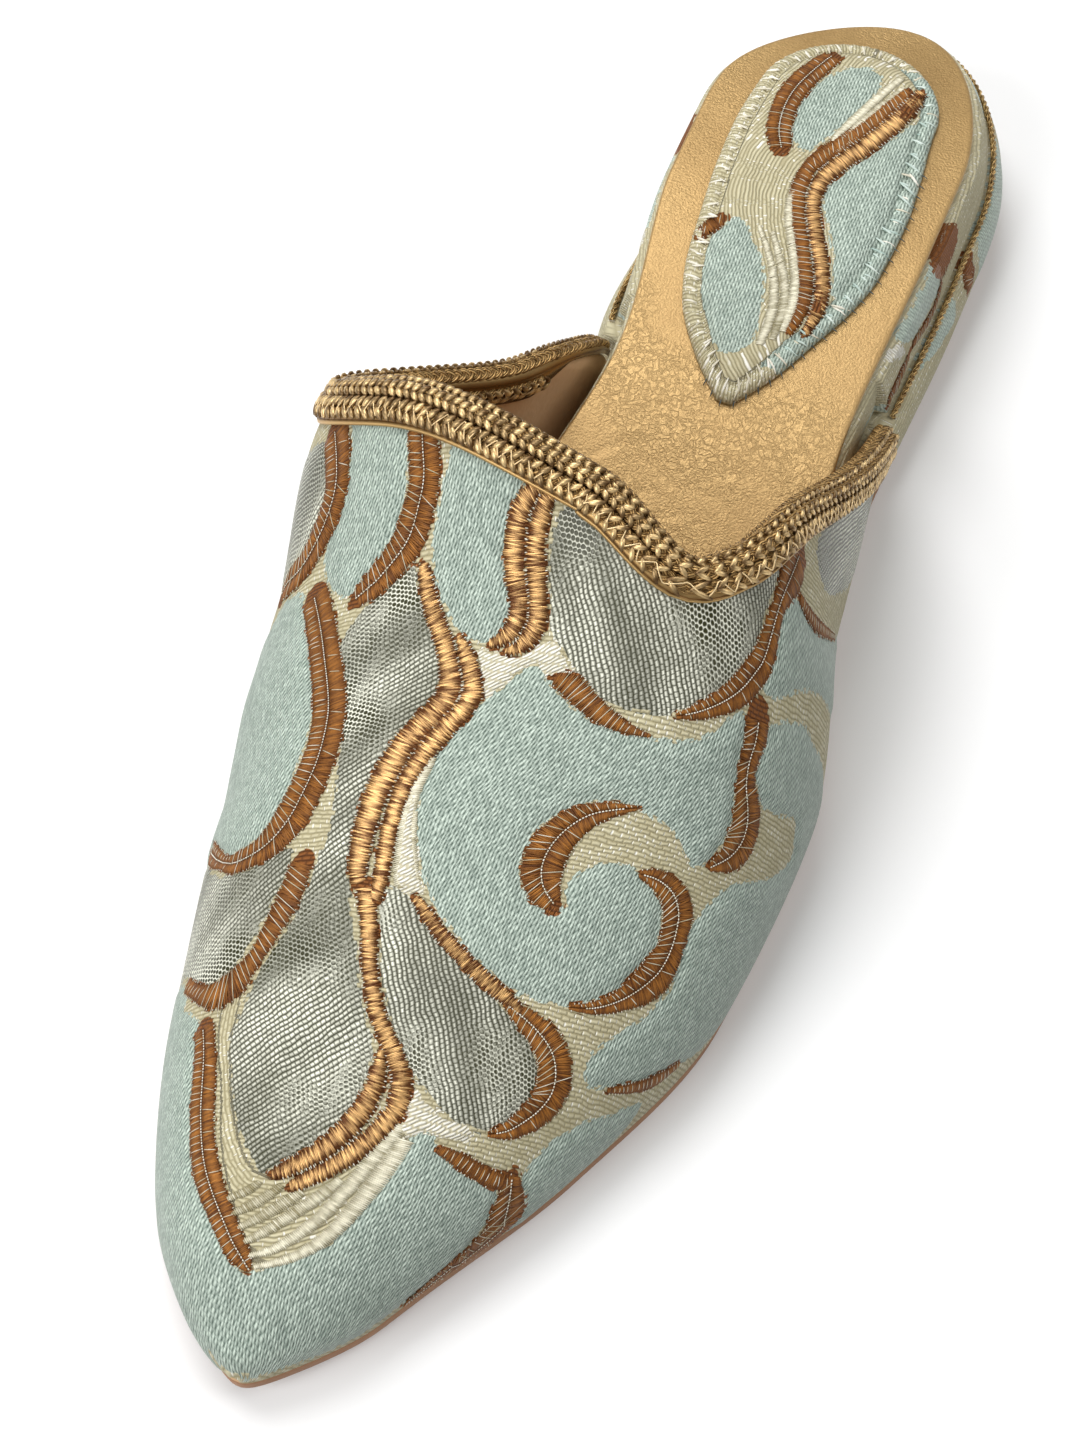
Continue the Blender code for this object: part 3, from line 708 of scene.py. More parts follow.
# a chance value for each cell of one, two or three numbers
def luckOf(tree, *cell):
    given = {"W": cell[0]} if len(cell) == 1 else {"Vector": joined(tree, *cell)}
    return wire(tree, "ShaderNodeTexWhiteNoise", {"noise_dimensions": "%dD" % len(cell)}, given, "Value")


def tint(red, green, blue):
    parts = [c / 255 for c in (red, green, blue)]
    return (*[c / 12.92 if c <= 0.04045 else ((c + 0.055) / 1.055) ** 2.4 for c in parts], 1.0)


def newMaterial(name):
    material = bpy.data.materials.new(name)
    material.use_nodes = True
    tree = material.node_tree
    return material, tree, tree.nodes["Principled BSDF"]


# a material's object coordinates
def objectSpot(tree):
    return wire(tree, "ShaderNodeTexCoord", None, None, "Object")


def linkBump(tree, shader, height, strength, distance):
    bump = wire(tree, "ShaderNodeBump", None, {"Strength": strength, "Distance": distance, "Height": height})
    plug(tree, shader.inputs["Normal"], bump)


# a tree's inputs as wires, and its outputs
def treeEnds(tree):
    given = {socket.name: Wire(tree, socket) for socket in tree.nodes.new("NodeGroupInput").outputs}
    return tree, given, tree.nodes.new("NodeGroupOutput")


def newGroup(name, inputs, outputs):
    tree = bpy.data.node_groups.new(name, "ShaderNodeTree")
    for way, labels in (("INPUT", inputs), ("OUTPUT", outputs)):
        for label in labels:
            tree.interface.new_socket(label, in_out=way, socket_type="NodeSocketFloat")
    return treeEnds(tree)


# how far the threads are pushed about, as in soft cloth
def wander(tree, across, along, amount):
    stirred = noise(tree, joined(tree, across, along), 0.3, 2.0, 0.0, 1)
    parts = put(tree, "ShaderNodeSeparateColor", None, {0: stirred}).outputs
    return [(Wire(tree, parts[i]) - 0.5) * amount for i in (0, 1)]


# parallel threads that dip under at the ends of each float, each line's floats a step on from the last
def threadGroup():
    tree, given, out = newGroup(
        "threadLines", ("Across", "Along", "Pitch", "Float", "Shift", "Dip"), ("Height", "Tone", "Joint"))
    line = given["Across"] / given["Pitch"]
    number = line.floor()
    crest = line.hump()
    dash = luckOf(tree, number) * 0.14 + number * given["Shift"] + given["Along"] / given["Float"]
    middle = calc("ABSOLUTE", dash.fract() - 0.5)
    dip = middle.ease(0.3, 0.5) * given["Dip"]
    feed(tree, out, {
        "Height": crest * (1.0 - dip), "Tone": luckOf(tree, number, dash.floor()),
        "Joint": middle.ease(0.36, 0.46) * crest})
    return tree


# round spots in staggered rows
def beadGroup():
    tree, given, out = newGroup(
        "beadWeave", ("Across", "Along", "Width", "Length", "Stagger"), ("Height", "Tone"))
    column = given["Across"] / given["Width"]
    number = column.floor()
    row = number * given["Stagger"] + given["Along"] / given["Length"]
    a, b = (place.fract() * 2.0 - 1.0 for place in (column, row))
    height = calc("SQRT", calc("MAXIMUM", 1.0 - (a * a + b * b), 0.0))
    feed(tree, out, {"Height": height, "Tone": luckOf(tree, number, row.floor())})
    return tree


threadLines = threadGroup()
beadWeave = beadGroup()

# finishes of the brocade: the light of each weave's threads and the dark of its grooves, which is painted
# shade (the silver's dark is its ground, with painted shade), thread sizes in mm
brocade = {
    "aqua": (tint(212, 226, 212), tint(52, 76, 65)),
    "silver": (tint(255, 255, 236), tint(50, 50, 20)),
    "cream": (tint(210, 202, 168), tint(162, 151, 114)),
    "white": (tint(252, 250, 240), tint(190, 181, 146)),
    "copper": (tint(140, 86, 38), tint(84, 46, 18)),
    # pitch, length of the floats, step from line to line, depth of the dips
    "satin": (0.68, -0.68, 0.323, 0.6),
    "fine": (0.495, 3.2, 0.37, 0.4),
    "rib": (0.64, 1.3, 0.5, 0.6),
    "floats": (0.5, 1.9, 0.31, 0.85),
    "twill": (0.73, -0.69, 0.366, 0.6),
    # row height, hole width, stagger
    "holes": (0.62, 0.7, 0.5),
    "ribTurn": -14.0,
    "satinTurn": 32.0,
    "twillTurn": 37.3,
    "floatTurn": 132.0,
    "wander": 0.9,
    "edgeTeeth": 0.8,
    "bumpDepth": 0.00022,
}


def weave(tree, group, *values):
    made = put(tree, "ShaderNodeGroup", {"node_tree": group}, dict(enumerate(values)))
    return [Wire(tree, socket) for socket in made.outputs]


def brocadeMaterial():
    material, tree, shader = newMaterial("brocade")
    u, v, ribU, ribV, floatU, floatV, ply, lean = (readAttribute(tree, name) for name in (
        "threadU", "threadV", "ribU", "ribV", "floatU", "floatV", "ply", "lean"))
    aside, ahead = wander(tree, u, v, brocade["wander"])
    u, ribV, floatV = (c + ahead for c in (u, ribV, floatV))
    v, ribU, floatU = (c + aside for c in (v, ribU, floatU))

    def turned(name, run):
        c, s = math.cos(math.radians(brocade[name])), math.sin(math.radians(brocade[name]))
        return v * -c + run * s, v * s + run * c

    satin, satinTone, _ = weave(tree, threadLines, *turned("satinTurn", u), *brocade["satin"])
    fine, _, _ = weave(tree, threadLines, v, u, *brocade["fine"])
    satin = satin * 0.42 + fine * 0.58
    rib, ribTone, joint = weave(tree, threadLines, ribU, ribV, *brocade["rib"])
    floats, floatTone, _ = weave(tree, threadLines, floatU, floatV, *brocade["floats"])
    hole, holeTone = weave(tree, beadWeave, u, v, *brocade["holes"])
    slant, lean = turned("twillTurn", u * lean)
    twill, twillTone, _ = weave(tree, threadLines, slant, lean, *brocade["twill"])
    teeth, combs = ((tone - 0.5) * brocade["edgeTeeth"] for tone in (satinTone, ribTone))
    aqua, silver, white, copper = (
        (readAttribute(tree, name) + shake).ease(-0.08, 0.08)
        for name, shake in (("aqua", teeth), ("silver", combs), ("white", combs), ("copper", combs)))

    # a weave's colour is darker in the grooves and dips between threads: painted shade, its depth set per
    # piece by an attribute; each float also has a random tone
    def threadColour(name, height, tone):
        light, dark = brocade[name]
        lit = 1.0 - ply * (1.0 - height * (tone * 0.4 + 0.7))
        return lit.blendColour(dark, light)

    # the silver is part mesh with round holes, part twill of short floats
    mesh = 1.0 - (hole * (holeTone * 0.3 + 0.8)).ease(0.1, 0.8)
    short = calc("POWER", twill, 1.5) * (twillTone * 0.5 + 0.65)
    bead = noise(tree, joined(tree, u, v), 0.06, 2.0).ease(0.48, 0.7).blend(short, mesh)
    # broad streaks that make the silver lighter and darker: painted sheen and painted shade of soft folds
    paintedSheen = noise(tree, joined(tree, slant, lean * 0.3), 0.11, 1.0).ease(0.3, 0.7) * 0.7 + 0.44
    silverColour = (bead * paintedSheen).blendColour(brocade["silver"][1], brocade["silver"][0])
    # pale knots where the cream's floats meet
    knots = ribTone.ease(0.6, 0.65) * joint
    colour = knots.blendColour(threadColour("cream", rib, ribTone), brocade["white"][0])
    colour = aqua.blendColour(colour, threadColour("aqua", satin, satinTone))
    colour = silver.blendColour(colour, silverColour)
    colour = white.blendColour(colour, threadColour("white", floats, floatTone))
    colour = copper.blendColour(colour, threadColour("copper", rib, ribTone))
    height = white.blend(silver.blend(aqua.blend(rib, satin), bead), floats)
    rough = calc("MAXIMUM", silver, white).blend(aqua.blend(0.62, 0.38), 0.34)
    feed(tree, shader, {
        "Base Color": colour, "Roughness": rough, "Metallic": copper * 0.4, "Specular IOR Level": 0.35})
    linkBump(tree, shader, height, 0.9, brocade["bumpDepth"])
    return material


# thread that takes its colour from each stitch's own tone, with a painted highlight along its crest and
# painted shade towards both ends; crest sets how strong they are
def threadMaterial(name, dark, light, metallic, roughness, crest=0.7):
    material, tree, shader = newMaterial(name)
    tone = readAttribute(tree, "tone")
    fibre = noise(tree, objectSpot(tree), 2600.0, 2.0)
    # the painted highlight sits a little to one side, differently on each thread
    far = readAttribute(tree, "stitchX") * 2.0 + ((tone * 57.3).fract() * crest - 0.5 * crest)
    paintedCrestLight = calc("POWER", calc("MAXIMUM", 1.0 - far * far, 0.0), 2.2)
    shade = (tone + (fibre * 0.5 - 0.25)) * (paintedCrestLight * crest + (1.0 - crest))
    feed(tree, shader, {
        "Base Color": shade.blendColour(tint(*dark), tint(*light)), "Roughness": fibre * 0.25 + roughness,
        "Metallic": metallic, "Specular IOR Level": 0.3})
    linkBump(tree, shader, fibre, 0.35, 0.00012)
    return material


# gilt strand: fibres wound along it, from the sweep's own run and turn
def giltMaterial(name, dark, light, fibres, windPerMm):
    material, tree, shader = newMaterial(name)
    run, turn, tone = (readAttribute(tree, label) for label in ("run", "turn", "tone"))
    wound = run * windPerMm + turn * fibres
    crest = wound.hump()
    luck = luckOf(tree, wound.floor(), (run * 0.45).floor(), tone)
    # each fibre is painted lighter on its crest and dark between fibres: painted highlight and painted shade,
    # scaled by a random tone
    bright = crest * (luck * 0.8 + 0.3)
    feed(tree, shader, {
        "Base Color": bright.blendColour(tint(*dark), tint(*light)), "Roughness": luck * 0.3 + 0.22,
        "Metallic": 0.75})
    linkBump(tree, shader, crest, 0.9, 0.00025)
    return material


# smooth leather with a net of fine veins that come and go
def leatherMaterial(name, dark, light, metallic, roughness, veinScale, veinDepth):
    material, tree, shader = newMaterial(name)
    spot = objectSpot(tree)
    wide = noise(tree, spot, 38.0, 4.0)
    vein = calc("ABSOLUTE", noise(tree, spot, veinScale, 2.5, 0.7) - 0.5).ease(0.0, 0.09)
    grain = noise(tree, spot, veinScale * 3, 3.0)
    # the veins are a little darker in colour: painted shade in the creases; the broad and fine noise are
    # random tone
    shade = vein * 0.12 + (grain * 0.3 + (wide - 0.15))
    feed(tree, shader, {
        "Base Color": shade.blendColour(tint(*dark), tint(*light)), "Roughness": grain * 0.22 + roughness,
        "Metallic": metallic})
    linkBump(tree, shader, vein * wide.ease(0.48, 0.66) * 0.35 + grain * 0.5, 0.5, veinDepth)
    return material


def liningMaterial(dark, light):
    material, tree, shader = newMaterial("lining")
    spot = objectSpot(tree)
    nap = noise(tree, spot, 900.0, 4.0)
    shade = nap * 0.4 + noise(tree, spot, 45.0, 3.0) * 0.6
    feed(tree, shader, {"Base Color": shade.blendColour(tint(*dark), tint(*light)), "Roughness": 0.85})
    linkBump(tree, shader, nap, 0.4, 0.0002)
    return material


brocadeCloth = brocadeMaterial()
lining = liningMaterial((206, 160, 114), (240, 204, 160))
copperThread = threadMaterial("copperThread", (84, 44, 10), (246, 197, 130), 0.45, 0.22, 0.98)
bronzeThread = threadMaterial("bronzeThread", (84, 44, 7), (180, 117, 46), 0.1, 0.42, 0.6)
paleThread = threadMaterial("paleThread", (190, 180, 148), (252, 249, 238), 0.0, 0.4, 0.3)
pearlThread = threadMaterial("pearlThread", (146, 136, 100), (246, 241, 218), 0.0, 0.34, 0.6)
aquaThread = threadMaterial("aquaThread", (150, 178, 168), (232, 242, 234), 0.0, 0.4, 0.4)
darkThread = threadMaterial("darkThread", (60, 70, 72), (96, 106, 106), 0.0, 0.6)
giltBraid = giltMaterial("giltBraid", (104, 70, 30), (222, 184, 122), 6.0, 0.5)
giltCord = giltMaterial("giltCord", (112, 72, 28), (252, 218, 150), 5.0, 0.6)
giltThread = threadMaterial("giltThread", (168, 120, 62), (252, 224, 172), 0.5, 0.22)
giltChain = threadMaterial("giltChain", (76, 46, 14), (252, 218, 158), 0.55, 0.2, 0.85)
goldLeather = leatherMaterial("goldLeather", (136, 103, 56), (200, 166, 110), 0.5, 0.3, 900.0, 0.00042)
tanLeather = leatherMaterial("tanLeather", (142, 98, 66), (190, 142, 104), 0.0, 0.5, 420.0, 0.0003)
print("materials made")


def storeValues(mesh, values, kind="FLOAT", slot="value"):
    for label, numbers in values.items():
        flat = np.asarray(numbers, np.float32).ravel()
        mesh.attributes.new(label, kind, "POINT").data.foreach_set(slot, flat)


# every piece rides on the shoe
def showPiece(name, mesh, nodes=()):
    piece = bpy.data.objects.new(name, mesh)
    bpy.context.scene.collection.objects.link(piece)
    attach(piece, "root")
    if nodes:
        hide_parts(*nodes)
    return piece


# a plain mesh piece in metres from frame mm, in place of a solid
def addPiece(name, points, faces, materials, nodes, attributes=None, faceMaterial=None):
    mesh = bpy.data.meshes.new(name)
    mesh.from_pydata((points.reshape(-1, 3) * mm).tolist(), [], faces)
    shape = bmesh.new()
    shape.from_mesh(mesh)
    bmesh.ops.recalc_face_normals(shape, faces=shape.faces)
    shape.to_mesh(mesh)
    shape.free()
    for material in materials:
        mesh.materials.append(material)
    if faceMaterial is not None:
        mesh.polygons.foreach_set("material_index", np.asarray(faceMaterial, np.int32))
    storeValues(mesh, attributes or {})
    mesh.shade_smooth()
    mesh.update()
    return showPiece(name, mesh, nodes)


# geometry node helpers
def newModifierTree(name, inputs):
    tree = bpy.data.node_groups.new(name, "GeometryNodeTree")
    tree.is_modifier = True
    for label, kind in (("Geometry", "NodeSocketGeometry"), *inputs):
        tree.interface.new_socket(label, in_out="INPUT", socket_type=kind)
    tree.interface.new_socket("Geometry", in_out="OUTPUT", socket_type="NodeSocketGeometry")
    return treeEnds(tree)


def named(tree, name, kind="FLOAT"):
    made = put(tree, "GeometryNodeInputNamedAttribute", {"data_type": kind}, {"Name": name})
    return Wire(tree, next(o for o in made.outputs if o.enabled and o.name == "Attribute"))


def storeNode(tree, geometry, name, value):
    made = put(tree, "GeometryNodeStoreNamedAttribute", {"data_type": "FLOAT", "domain": "POINT"}, {
        "Geometry": geometry, "Name": name})
    plug(tree, next(i for i in made.inputs if i.enabled and i.name == "Value"), value)
    return Wire(tree, made.outputs[0])


def smoothAndCoat(tree, geometry, material, out):
    smooth = wire(tree, "GeometryNodeSetShadeSmooth", None, {"Geometry": geometry})
    coated = wire(tree, "GeometryNodeSetMaterial", None, {"Geometry": smooth, "Material": material})
    feed(tree, out, {"Geometry": coated})
    return tree


# one thread laid over each point: across and up give its lie, size its length, width and crown
def stitchTree():
    tree, given, out = newModifierTree("layStitches", (
        ("Sides", "NodeSocketInt"), ("Rings", "NodeSocketInt"), ("Flatness", "NodeSocketFloat"),
        ("Thread", "NodeSocketMaterial")))
    ball = wire(tree, "GeometryNodeMeshUVSphere", None, {
        "Segments": given["Sides"], "Rings": given["Rings"], "Radius": 0.5}, "Mesh")
    laid = wire(tree, "GeometryNodeTransform", None, {"Geometry": ball, "Rotation": (0.0, math.pi / 2, 0.0)})
    x = wire(tree, "ShaderNodeSeparateXYZ", None, {0: wire(tree, "GeometryNodeInputPosition")}, "X")
    kept = storeNode(tree, laid, "stitchX", x)
    across, up, size = (named(tree, name, "FLOAT_VECTOR") for name in ("across", "up", "size"))
    length, width, crown = (wire(tree, "ShaderNodeSeparateXYZ", None, {0: size}, axis) for axis in "XYZ")
    turn = wire(tree, "FunctionNodeAxesToRotation", {"primary_axis": "X", "secondary_axis": "Z"}, {
        "Primary Axis": across, "Secondary Axis": up})
    spread = wire(tree, "GeometryNodeInstanceOnPoints", None, {
        "Points": given["Geometry"], "Instance": kept, "Rotation": turn,
        "Scale": joined(tree, length, width, width * given["Flatness"])})
    solid = wire(tree, "GeometryNodeRealizeInstances", None, {"Geometry": spread})
    far = named(tree, "stitchX") * 2.0
    lift = wire(tree, "ShaderNodeVectorMath", {"operation": "SCALE"}, {
        0: up, "Scale": (1.0 - far * far) * crown})
    bent = wire(tree, "GeometryNodeSetPosition", None, {"Geometry": solid, "Offset": lift})
    return smoothAndCoat(tree, bent, given["Thread"], out)


# a round strand swept along each polyline
def sweepTree():
    tree, given, out = newModifierTree("sweepStrands", (
        ("Radius", "NodeSocketFloat"), ("Sides", "NodeSocketInt"), ("Strand", "NodeSocketMaterial")))
    path = wire(tree, "GeometryNodeMeshToCurve", None, {"Mesh": given["Geometry"]})
    ring = wire(tree, "GeometryNodeCurvePrimitiveCircle", {"mode": "RADIUS"}, {
        "Resolution": given["Sides"], "Radius": given["Radius"]})
    ring = storeNode(tree, ring, "turn", wire(tree, "GeometryNodeSplineParameter", None, None, "Factor"))
    swept = wire(tree, "GeometryNodeCurveToMesh", None, {
        "Curve": path, "Profile Curve": ring, "Fill Caps": True})
    solid = wire(tree, "GeometryNodeRealizeInstances", None, {"Geometry": swept})
    return smoothAndCoat(tree, solid, given["Strand"], out)


layStitches = stitchTree()
sweepStrands = sweepTree()


# runs a tree on points or lines and keeps the result as a plain mesh
def growPiece(name, tree, settings, points, edges, floats, vectors):
    mesh = bpy.data.meshes.new(name + "Seed")
    mesh.from_pydata((np.asarray(points) * mm).tolist(), edges, [])
    storeValues(mesh, floats)
    storeValues(mesh, vectors, "FLOAT_VECTOR", "vector")
    seed = bpy.data.objects.new(name + "Seed", mesh)
    bpy.context.scene.collection.objects.link(seed)
    modifier = seed.modifiers.new(name, "NODES")
    modifier.node_group = tree
    for item in tree.interface.items_tree:
        if item.in_out == "INPUT" and item.name in settings:
            modifier[item.identifier] = settings[item.name]
    grown = bpy.data.meshes.new_from_object(seed.evaluated_get(bpy.context.evaluated_depsgraph_get()))
    grown.name = name
    bpy.data.objects.remove(seed, do_unlink=True)
    return showPiece(name, grown)


def growStitches(name, stitches, material, sides=5, rings=5, flatness=0.6):
    labels = ("middle", "across", "up", "size", "tone")
    given = {label: np.array([s[label] for s in stitches]) for label in labels}
    growPiece(
        name, layStitches, {"Sides": sides, "Rings": rings, "Flatness": flatness, "Thread": material},
        given["middle"], [], {"tone": given["tone"]},
        {"across": given["across"], "up": given["up"], "size": given["size"] * mm})


def growStrands(name, lines, tones, radius, sides, material):
    points, edges, run, tone = [], [], [], []
    for line, shade in zip(lines, tones):
        first = len(points)
        points += list(line)
        edges += [(first + i, first + i + 1) for i in range(len(line) - 1)]
        run += list(walkedLength(line))
        tone += [shade] * len(line)
    return growPiece(
        name, sweepStrands, {"Radius": radius * mm, "Sides": sides, "Strand": material},
        points, edges, {"run": run, "tone": tone}, {})


# stitches of the copper bands, with pale couching over the dull ones and pale picots at the edges
bandSpec = {
    "pitch": 0.22, "thread": 0.36, "lift": 0.08, "dullShine": 0.45,
    "paleThread": 0.14, "paleGap": 1.2, "paleLift": 0.13, "paleTilt": 0.25,
    "knotGap": 0.55, "knotReach": 0.36, "knotThread": 0.24, "knotHalf": 0.7,
    "picotGap": 0.6, "picotThread": 0.16, "picotShare": 0.7,
}


def layStitch(p1, p2, up, lift, thread, crown, tone, longer=1.0):
    return {
        "middle": (p1 + p2) / 2 + up * lift, "across": p2 - p1, "up": up,
        "size": (np.linalg.norm(p2 - p1) * longer, thread, crown), "tone": tone}


# even spots along a band: middle, half width, run and side
def walkBand(path, pitch):
    walked = walkedLength(path[:, :2])
    at = np.arange(0.1, walked[-1], pitch)
    middle = pointsAt(at, walked, path[:, :2])
    run = unit(np.gradient(middle, axis=0))
    return middle, np.interp(at, walked, path[:, 2]), run, leftward(run)


# one row of satin stitches between two lines
def satinRow(surface, one, two, crown, tones, thread):
    p1, n1 = liftFlat(surface, one)
    p2, n2 = liftFlat(surface, two)
    up = unit(n1 + n2)
    kept = np.linalg.norm(p2 - p1, axis=1) > 0.4
    return [layStitch(a, b, n, bandSpec["lift"], thread, crown, t, 1.05)
            for a, b, n, t in zip(p1[kept], p2[kept], up[kept], tones[kept])]


# tones that drift along a row as well as from thread to thread
def driftTones(count, level, spread, every=12):
    knots = np.arange(0, count + every, every)
    slow = np.interp(np.arange(count), knots, chance.normal(0, 1, len(knots)))
    return np.clip(level + spread * (0.3 * slow + 0.9 * chance.normal(0, 1, count)), 0.02, 1)


def bandStitches(surface, bands):
    bright, dull, pale = [], [], []
    pitch = bandSpec["pitch"]
    for rows, shine, path in bands:
        middle, half, run, side = walkBand(path, pitch)
        count = len(middle)
        isDull = shine < bandSpec["dullShine"]
        for row in range(rows):
            offset = (2 * (row + 0.5) / rows - 1) * half
            reach = half / rows * 0.97
            out = reach * (1 + chance.uniform(-0.06, 0.22, count))  # ragged on the outer side
            low, high = (out, out) if rows == 1 else ((out, reach) if row == 0 else (reach, out))
            slant = (chance.normal(0.12, 0.06, count) * reach * (1 if row else -1))[:, None]
            one = middle + side * (offset - low)[:, None] - run * slant
            two = middle + side * (offset + high)[:, None] + run * slant
            tones = driftTones(count, 0.42 + 0.16 * shine, 0.18 + 0.12 * shine)
            made = satinRow(surface, one, two, 0.08 + 0.16 * shine, tones, bandSpec["thread"])
            (dull if isDull else bright).extend(made)
            if isDull:  # thin pale threads cross the row on the left, few cross the other
                onLeft = rows == 1 or (row == 1) == (side[:, 1].mean() > 0)
                every = round(bandSpec["paleGap"] / pitch) * (1 if onLeft else 3)
                pick = np.arange(every, count, every)
                pick = np.maximum(pick - chance.integers(0, 3, len(pick)), 0)
                tilt = np.linalg.norm(two - one, axis=1) * np.clip(middle[:, 1] / 30, -1, 1)
                tilt = tilt * np.sign(side[:, 1]) * bandSpec["paleTilt"]
                level = np.stack([tilt, tilt * 0], 1)
                tones = chance.uniform(0.0, 0.6, len(pick))
                first, last = (one + level)[pick], (two - level)[pick]
                made = satinRow(surface, first, last, 0.1, tones, bandSpec["paleThread"])
                for stitch in made:
                    stitch["middle"] = stitch["middle"] + stitch["up"] * bandSpec["paleLift"]
                pale += made
        if rows == 2:  # knots between the two rows
            every = max(1, round(bandSpec["knotGap"] / pitch))
            spots = np.where(half > bandSpec["knotHalf"])[0][::every]
            p, n = liftFlat(surface, middle[spots])
            ahead, _ = liftFlat(surface, middle[spots] + run[spots] * bandSpec["knotReach"])
            pale += [layStitch(a, b, up, 0.2, bandSpec["knotThread"], 0.06, chance.uniform(0.3, 1))
                     for a, b, up in zip(p, ahead, n)]
        every = max(1, round(bandSpec["picotGap"] / pitch))
        inner, outer = (0.1, 0.2) if isDull else (0.35, 0.22)
        for edge in (-1, 1):
            here = slice(1 if edge > 0 else 0, None, every)
            p, n = liftFlat(surface, (middle + side * ((half - inner) * edge)[:, None])[here])
            far, _ = liftFlat(surface, (middle + side * ((half + outer) * edge)[:, None])[here])
            pale += [layStitch(a, b, up, 0.16, bandSpec["picotThread"], 0.05, chance.uniform(0.2, 0.8))
                     for a, b, up in zip(p, far, n) if chance.random() < bandSpec["picotShare"]]
    return bright, dull, pale


# the three threads of a set of bands, grown as pieces
def growBands(stitches, names):
    threads = ((copperThread, 5), (bronzeThread, 5), (paleThread, 4))
    for made, name, (thread, sides) in zip(stitches, names, threads):
        if name:
            growStitches(name, made, thread, sides, sides)


pearlSpec = {"pitch": 0.28, "thread": 0.34, "wide": 1.25, "slant": 0.35}


def pearlStitches(surface, face, chart):
    made = []
    for white, rows in chart.values():
        middle, half, run, side = walkBand(chartBand(surface, rows), pearlSpec["pitch"])
        out = half * (pearlSpec["wide"] + chance.uniform(-0.1, 0.12, len(middle)))
        reach = side * out[:, None] + run * (pearlSpec["slant"] * half)[:, None]
        tones = driftTones(len(middle), 0.15 + 0.65 * white, 0.2)
        made += satinRow(face, middle - reach, middle + reach, 0.06, tones, pearlSpec["thread"])
    return made


# signed distances of every weave at the given flat spots
def markMotifs(surface, spots, aqua, silver, white, bands):
    marks = {}
    for name, chart in (("aqua", aqua), ("silver", silver), ("white", white)):
        best = np.full(len(spots), -4.0)
        for pixels in chart.values():
            best = np.maximum(best, insideDistance(spots, chartLoop(surface, pixels)))
        marks[name] = best
    marks["copper"] = np.full(len(spots), -4.0)
    relief = np.zeros(len(spots))
    paths = []
    for rows, shine, chart in bands.values():
        path = chartBand(surface, chart)
        paths.append((rows, shine, path))
        distance, across = bandDistance(spots, path)
        higher = distance > marks["copper"]
        marks["copper"] = np.where(higher, distance, marks["copper"])
        wave = np.abs(np.sin((across + 1) / 2 * rows * math.pi))
        cord = softStep(distance, 0, 0.5) * (0.04 + (0.05 + 0.2 * shine) * np.sqrt(wave))
        relief = np.where(higher & (distance > 0), cord, relief)
    return marks, relief, paths


# how far each weave stands off the ground cloth and the width it rises over, in mm
reliefSpec = {"aqua": (0.34, 2.2), "silver": (0.16, 1.2), "white": (0.42, 1.0)}
besideBand = 0.1  # the cloth sinks beside a band


def weaveRelief(marks, cord):
    height = np.max([rise * softStep(marks[name], 0, wide) for name, (rise, wide) in reliefSpec.items()], 0)
    sunk = besideBand * (1 - softStep(-marks["copper"], 0, 1.0))
    return np.where(marks["copper"] > 0, cord, height - sunk)


def creases(surface, spots):
    height = np.zeros(len(spots))
    for first, last, rise, wide in creaseChart:
        a, b = castPixel(surface, *first), castPixel(surface, *last)
        run = b - a
        t = ((spots - a) @ run) / (run @ run)
        off = spots - a - np.clip(t, 0, 1)[:, None] * run
        height += rise * np.exp(-(off * off).sum(1) / wide ** 2)
    return height


# upper
upperSpec = {
    "columns": 300, "bodyRows": 280, "toeRows": 28, "liningColumns": 90, "liningRows": 44, "evenAt": 165.0,
    "chartRows": 189, "chartColumns": 160,
}


def collarEdge():
    many = np.radians(np.linspace(0, 180, 721))
    along, angle = fromCollar(many, shoe["crown"])
    angle[0], angle[-1] = 0.0, math.pi
    order = np.argsort(angle)
    return angle[order], along[order]


edgeAngles, edgeAlongs = collarEdge()


# angles that divide the section evenly by length
def evenAngles(count):
    many = np.linspace(0, math.pi, 2001)
    walked = walkedLength(shell(np.full(len(many), upperSpec["evenAt"]), many))
    return np.interp(np.linspace(0, walked[-1], count + 1), walked, many)


# length round the section from the ridge, positive to the left
arcStations = np.linspace(70, 259.9, 240)
arcAngles = np.linspace(0, math.pi, 361)


def arcGrid():
    s, a = np.meshgrid(arcStations, arcAngles, indexing="ij")
    steps = np.linalg.norm(np.diff(shell(s, a), axis=1), axis=2)
    walked = np.concatenate([np.zeros((len(arcStations), 1)), np.cumsum(steps, axis=1)], 1)
    return walked - walked[:, 180:181]


arcLengths = arcGrid()


def arcLength(along, angle):
    i = np.clip((along - arcStations[0]) / (arcStations[1] - arcStations[0]), 0, len(arcStations) - 1.001)
    j = np.clip(angle / (arcAngles[1] - arcAngles[0]), 0, len(arcAngles) - 1.001)
    i0, j0 = i.astype(int), j.astype(int)
    fi, fj = i - i0, j - j0
    near = arcLengths[i0, j0] * (1 - fj) + arcLengths[i0, j0 + 1] * fj
    far = arcLengths[i0 + 1, j0] * (1 - fj) + arcLengths[i0 + 1, j0 + 1] * fj
    return near * (1 - fi) + far * fi


def upperChart(relief=0.0):
    rows, columns = upperSpec["chartRows"], upperSpec["chartColumns"]
    s, a = np.meshgrid(np.linspace(71, 259.6, rows + 1), evenAngles(columns), indexing="ij")
    flat = np.stack([s, arcLength(s, a)], -1).reshape(-1, 2)
    points = shell(s, a) + slopes(s, a)[2] * np.broadcast_to(relief, flat[:, 0].shape).reshape(*s.shape, 1)
    return chartSurface(place(points).reshape(-1, 3), flat, gridTriangles(rows, columns))


upperSheet = upperChart()
upperFace = upperChart(creases(upperSheet, upperSheet["flat"]))


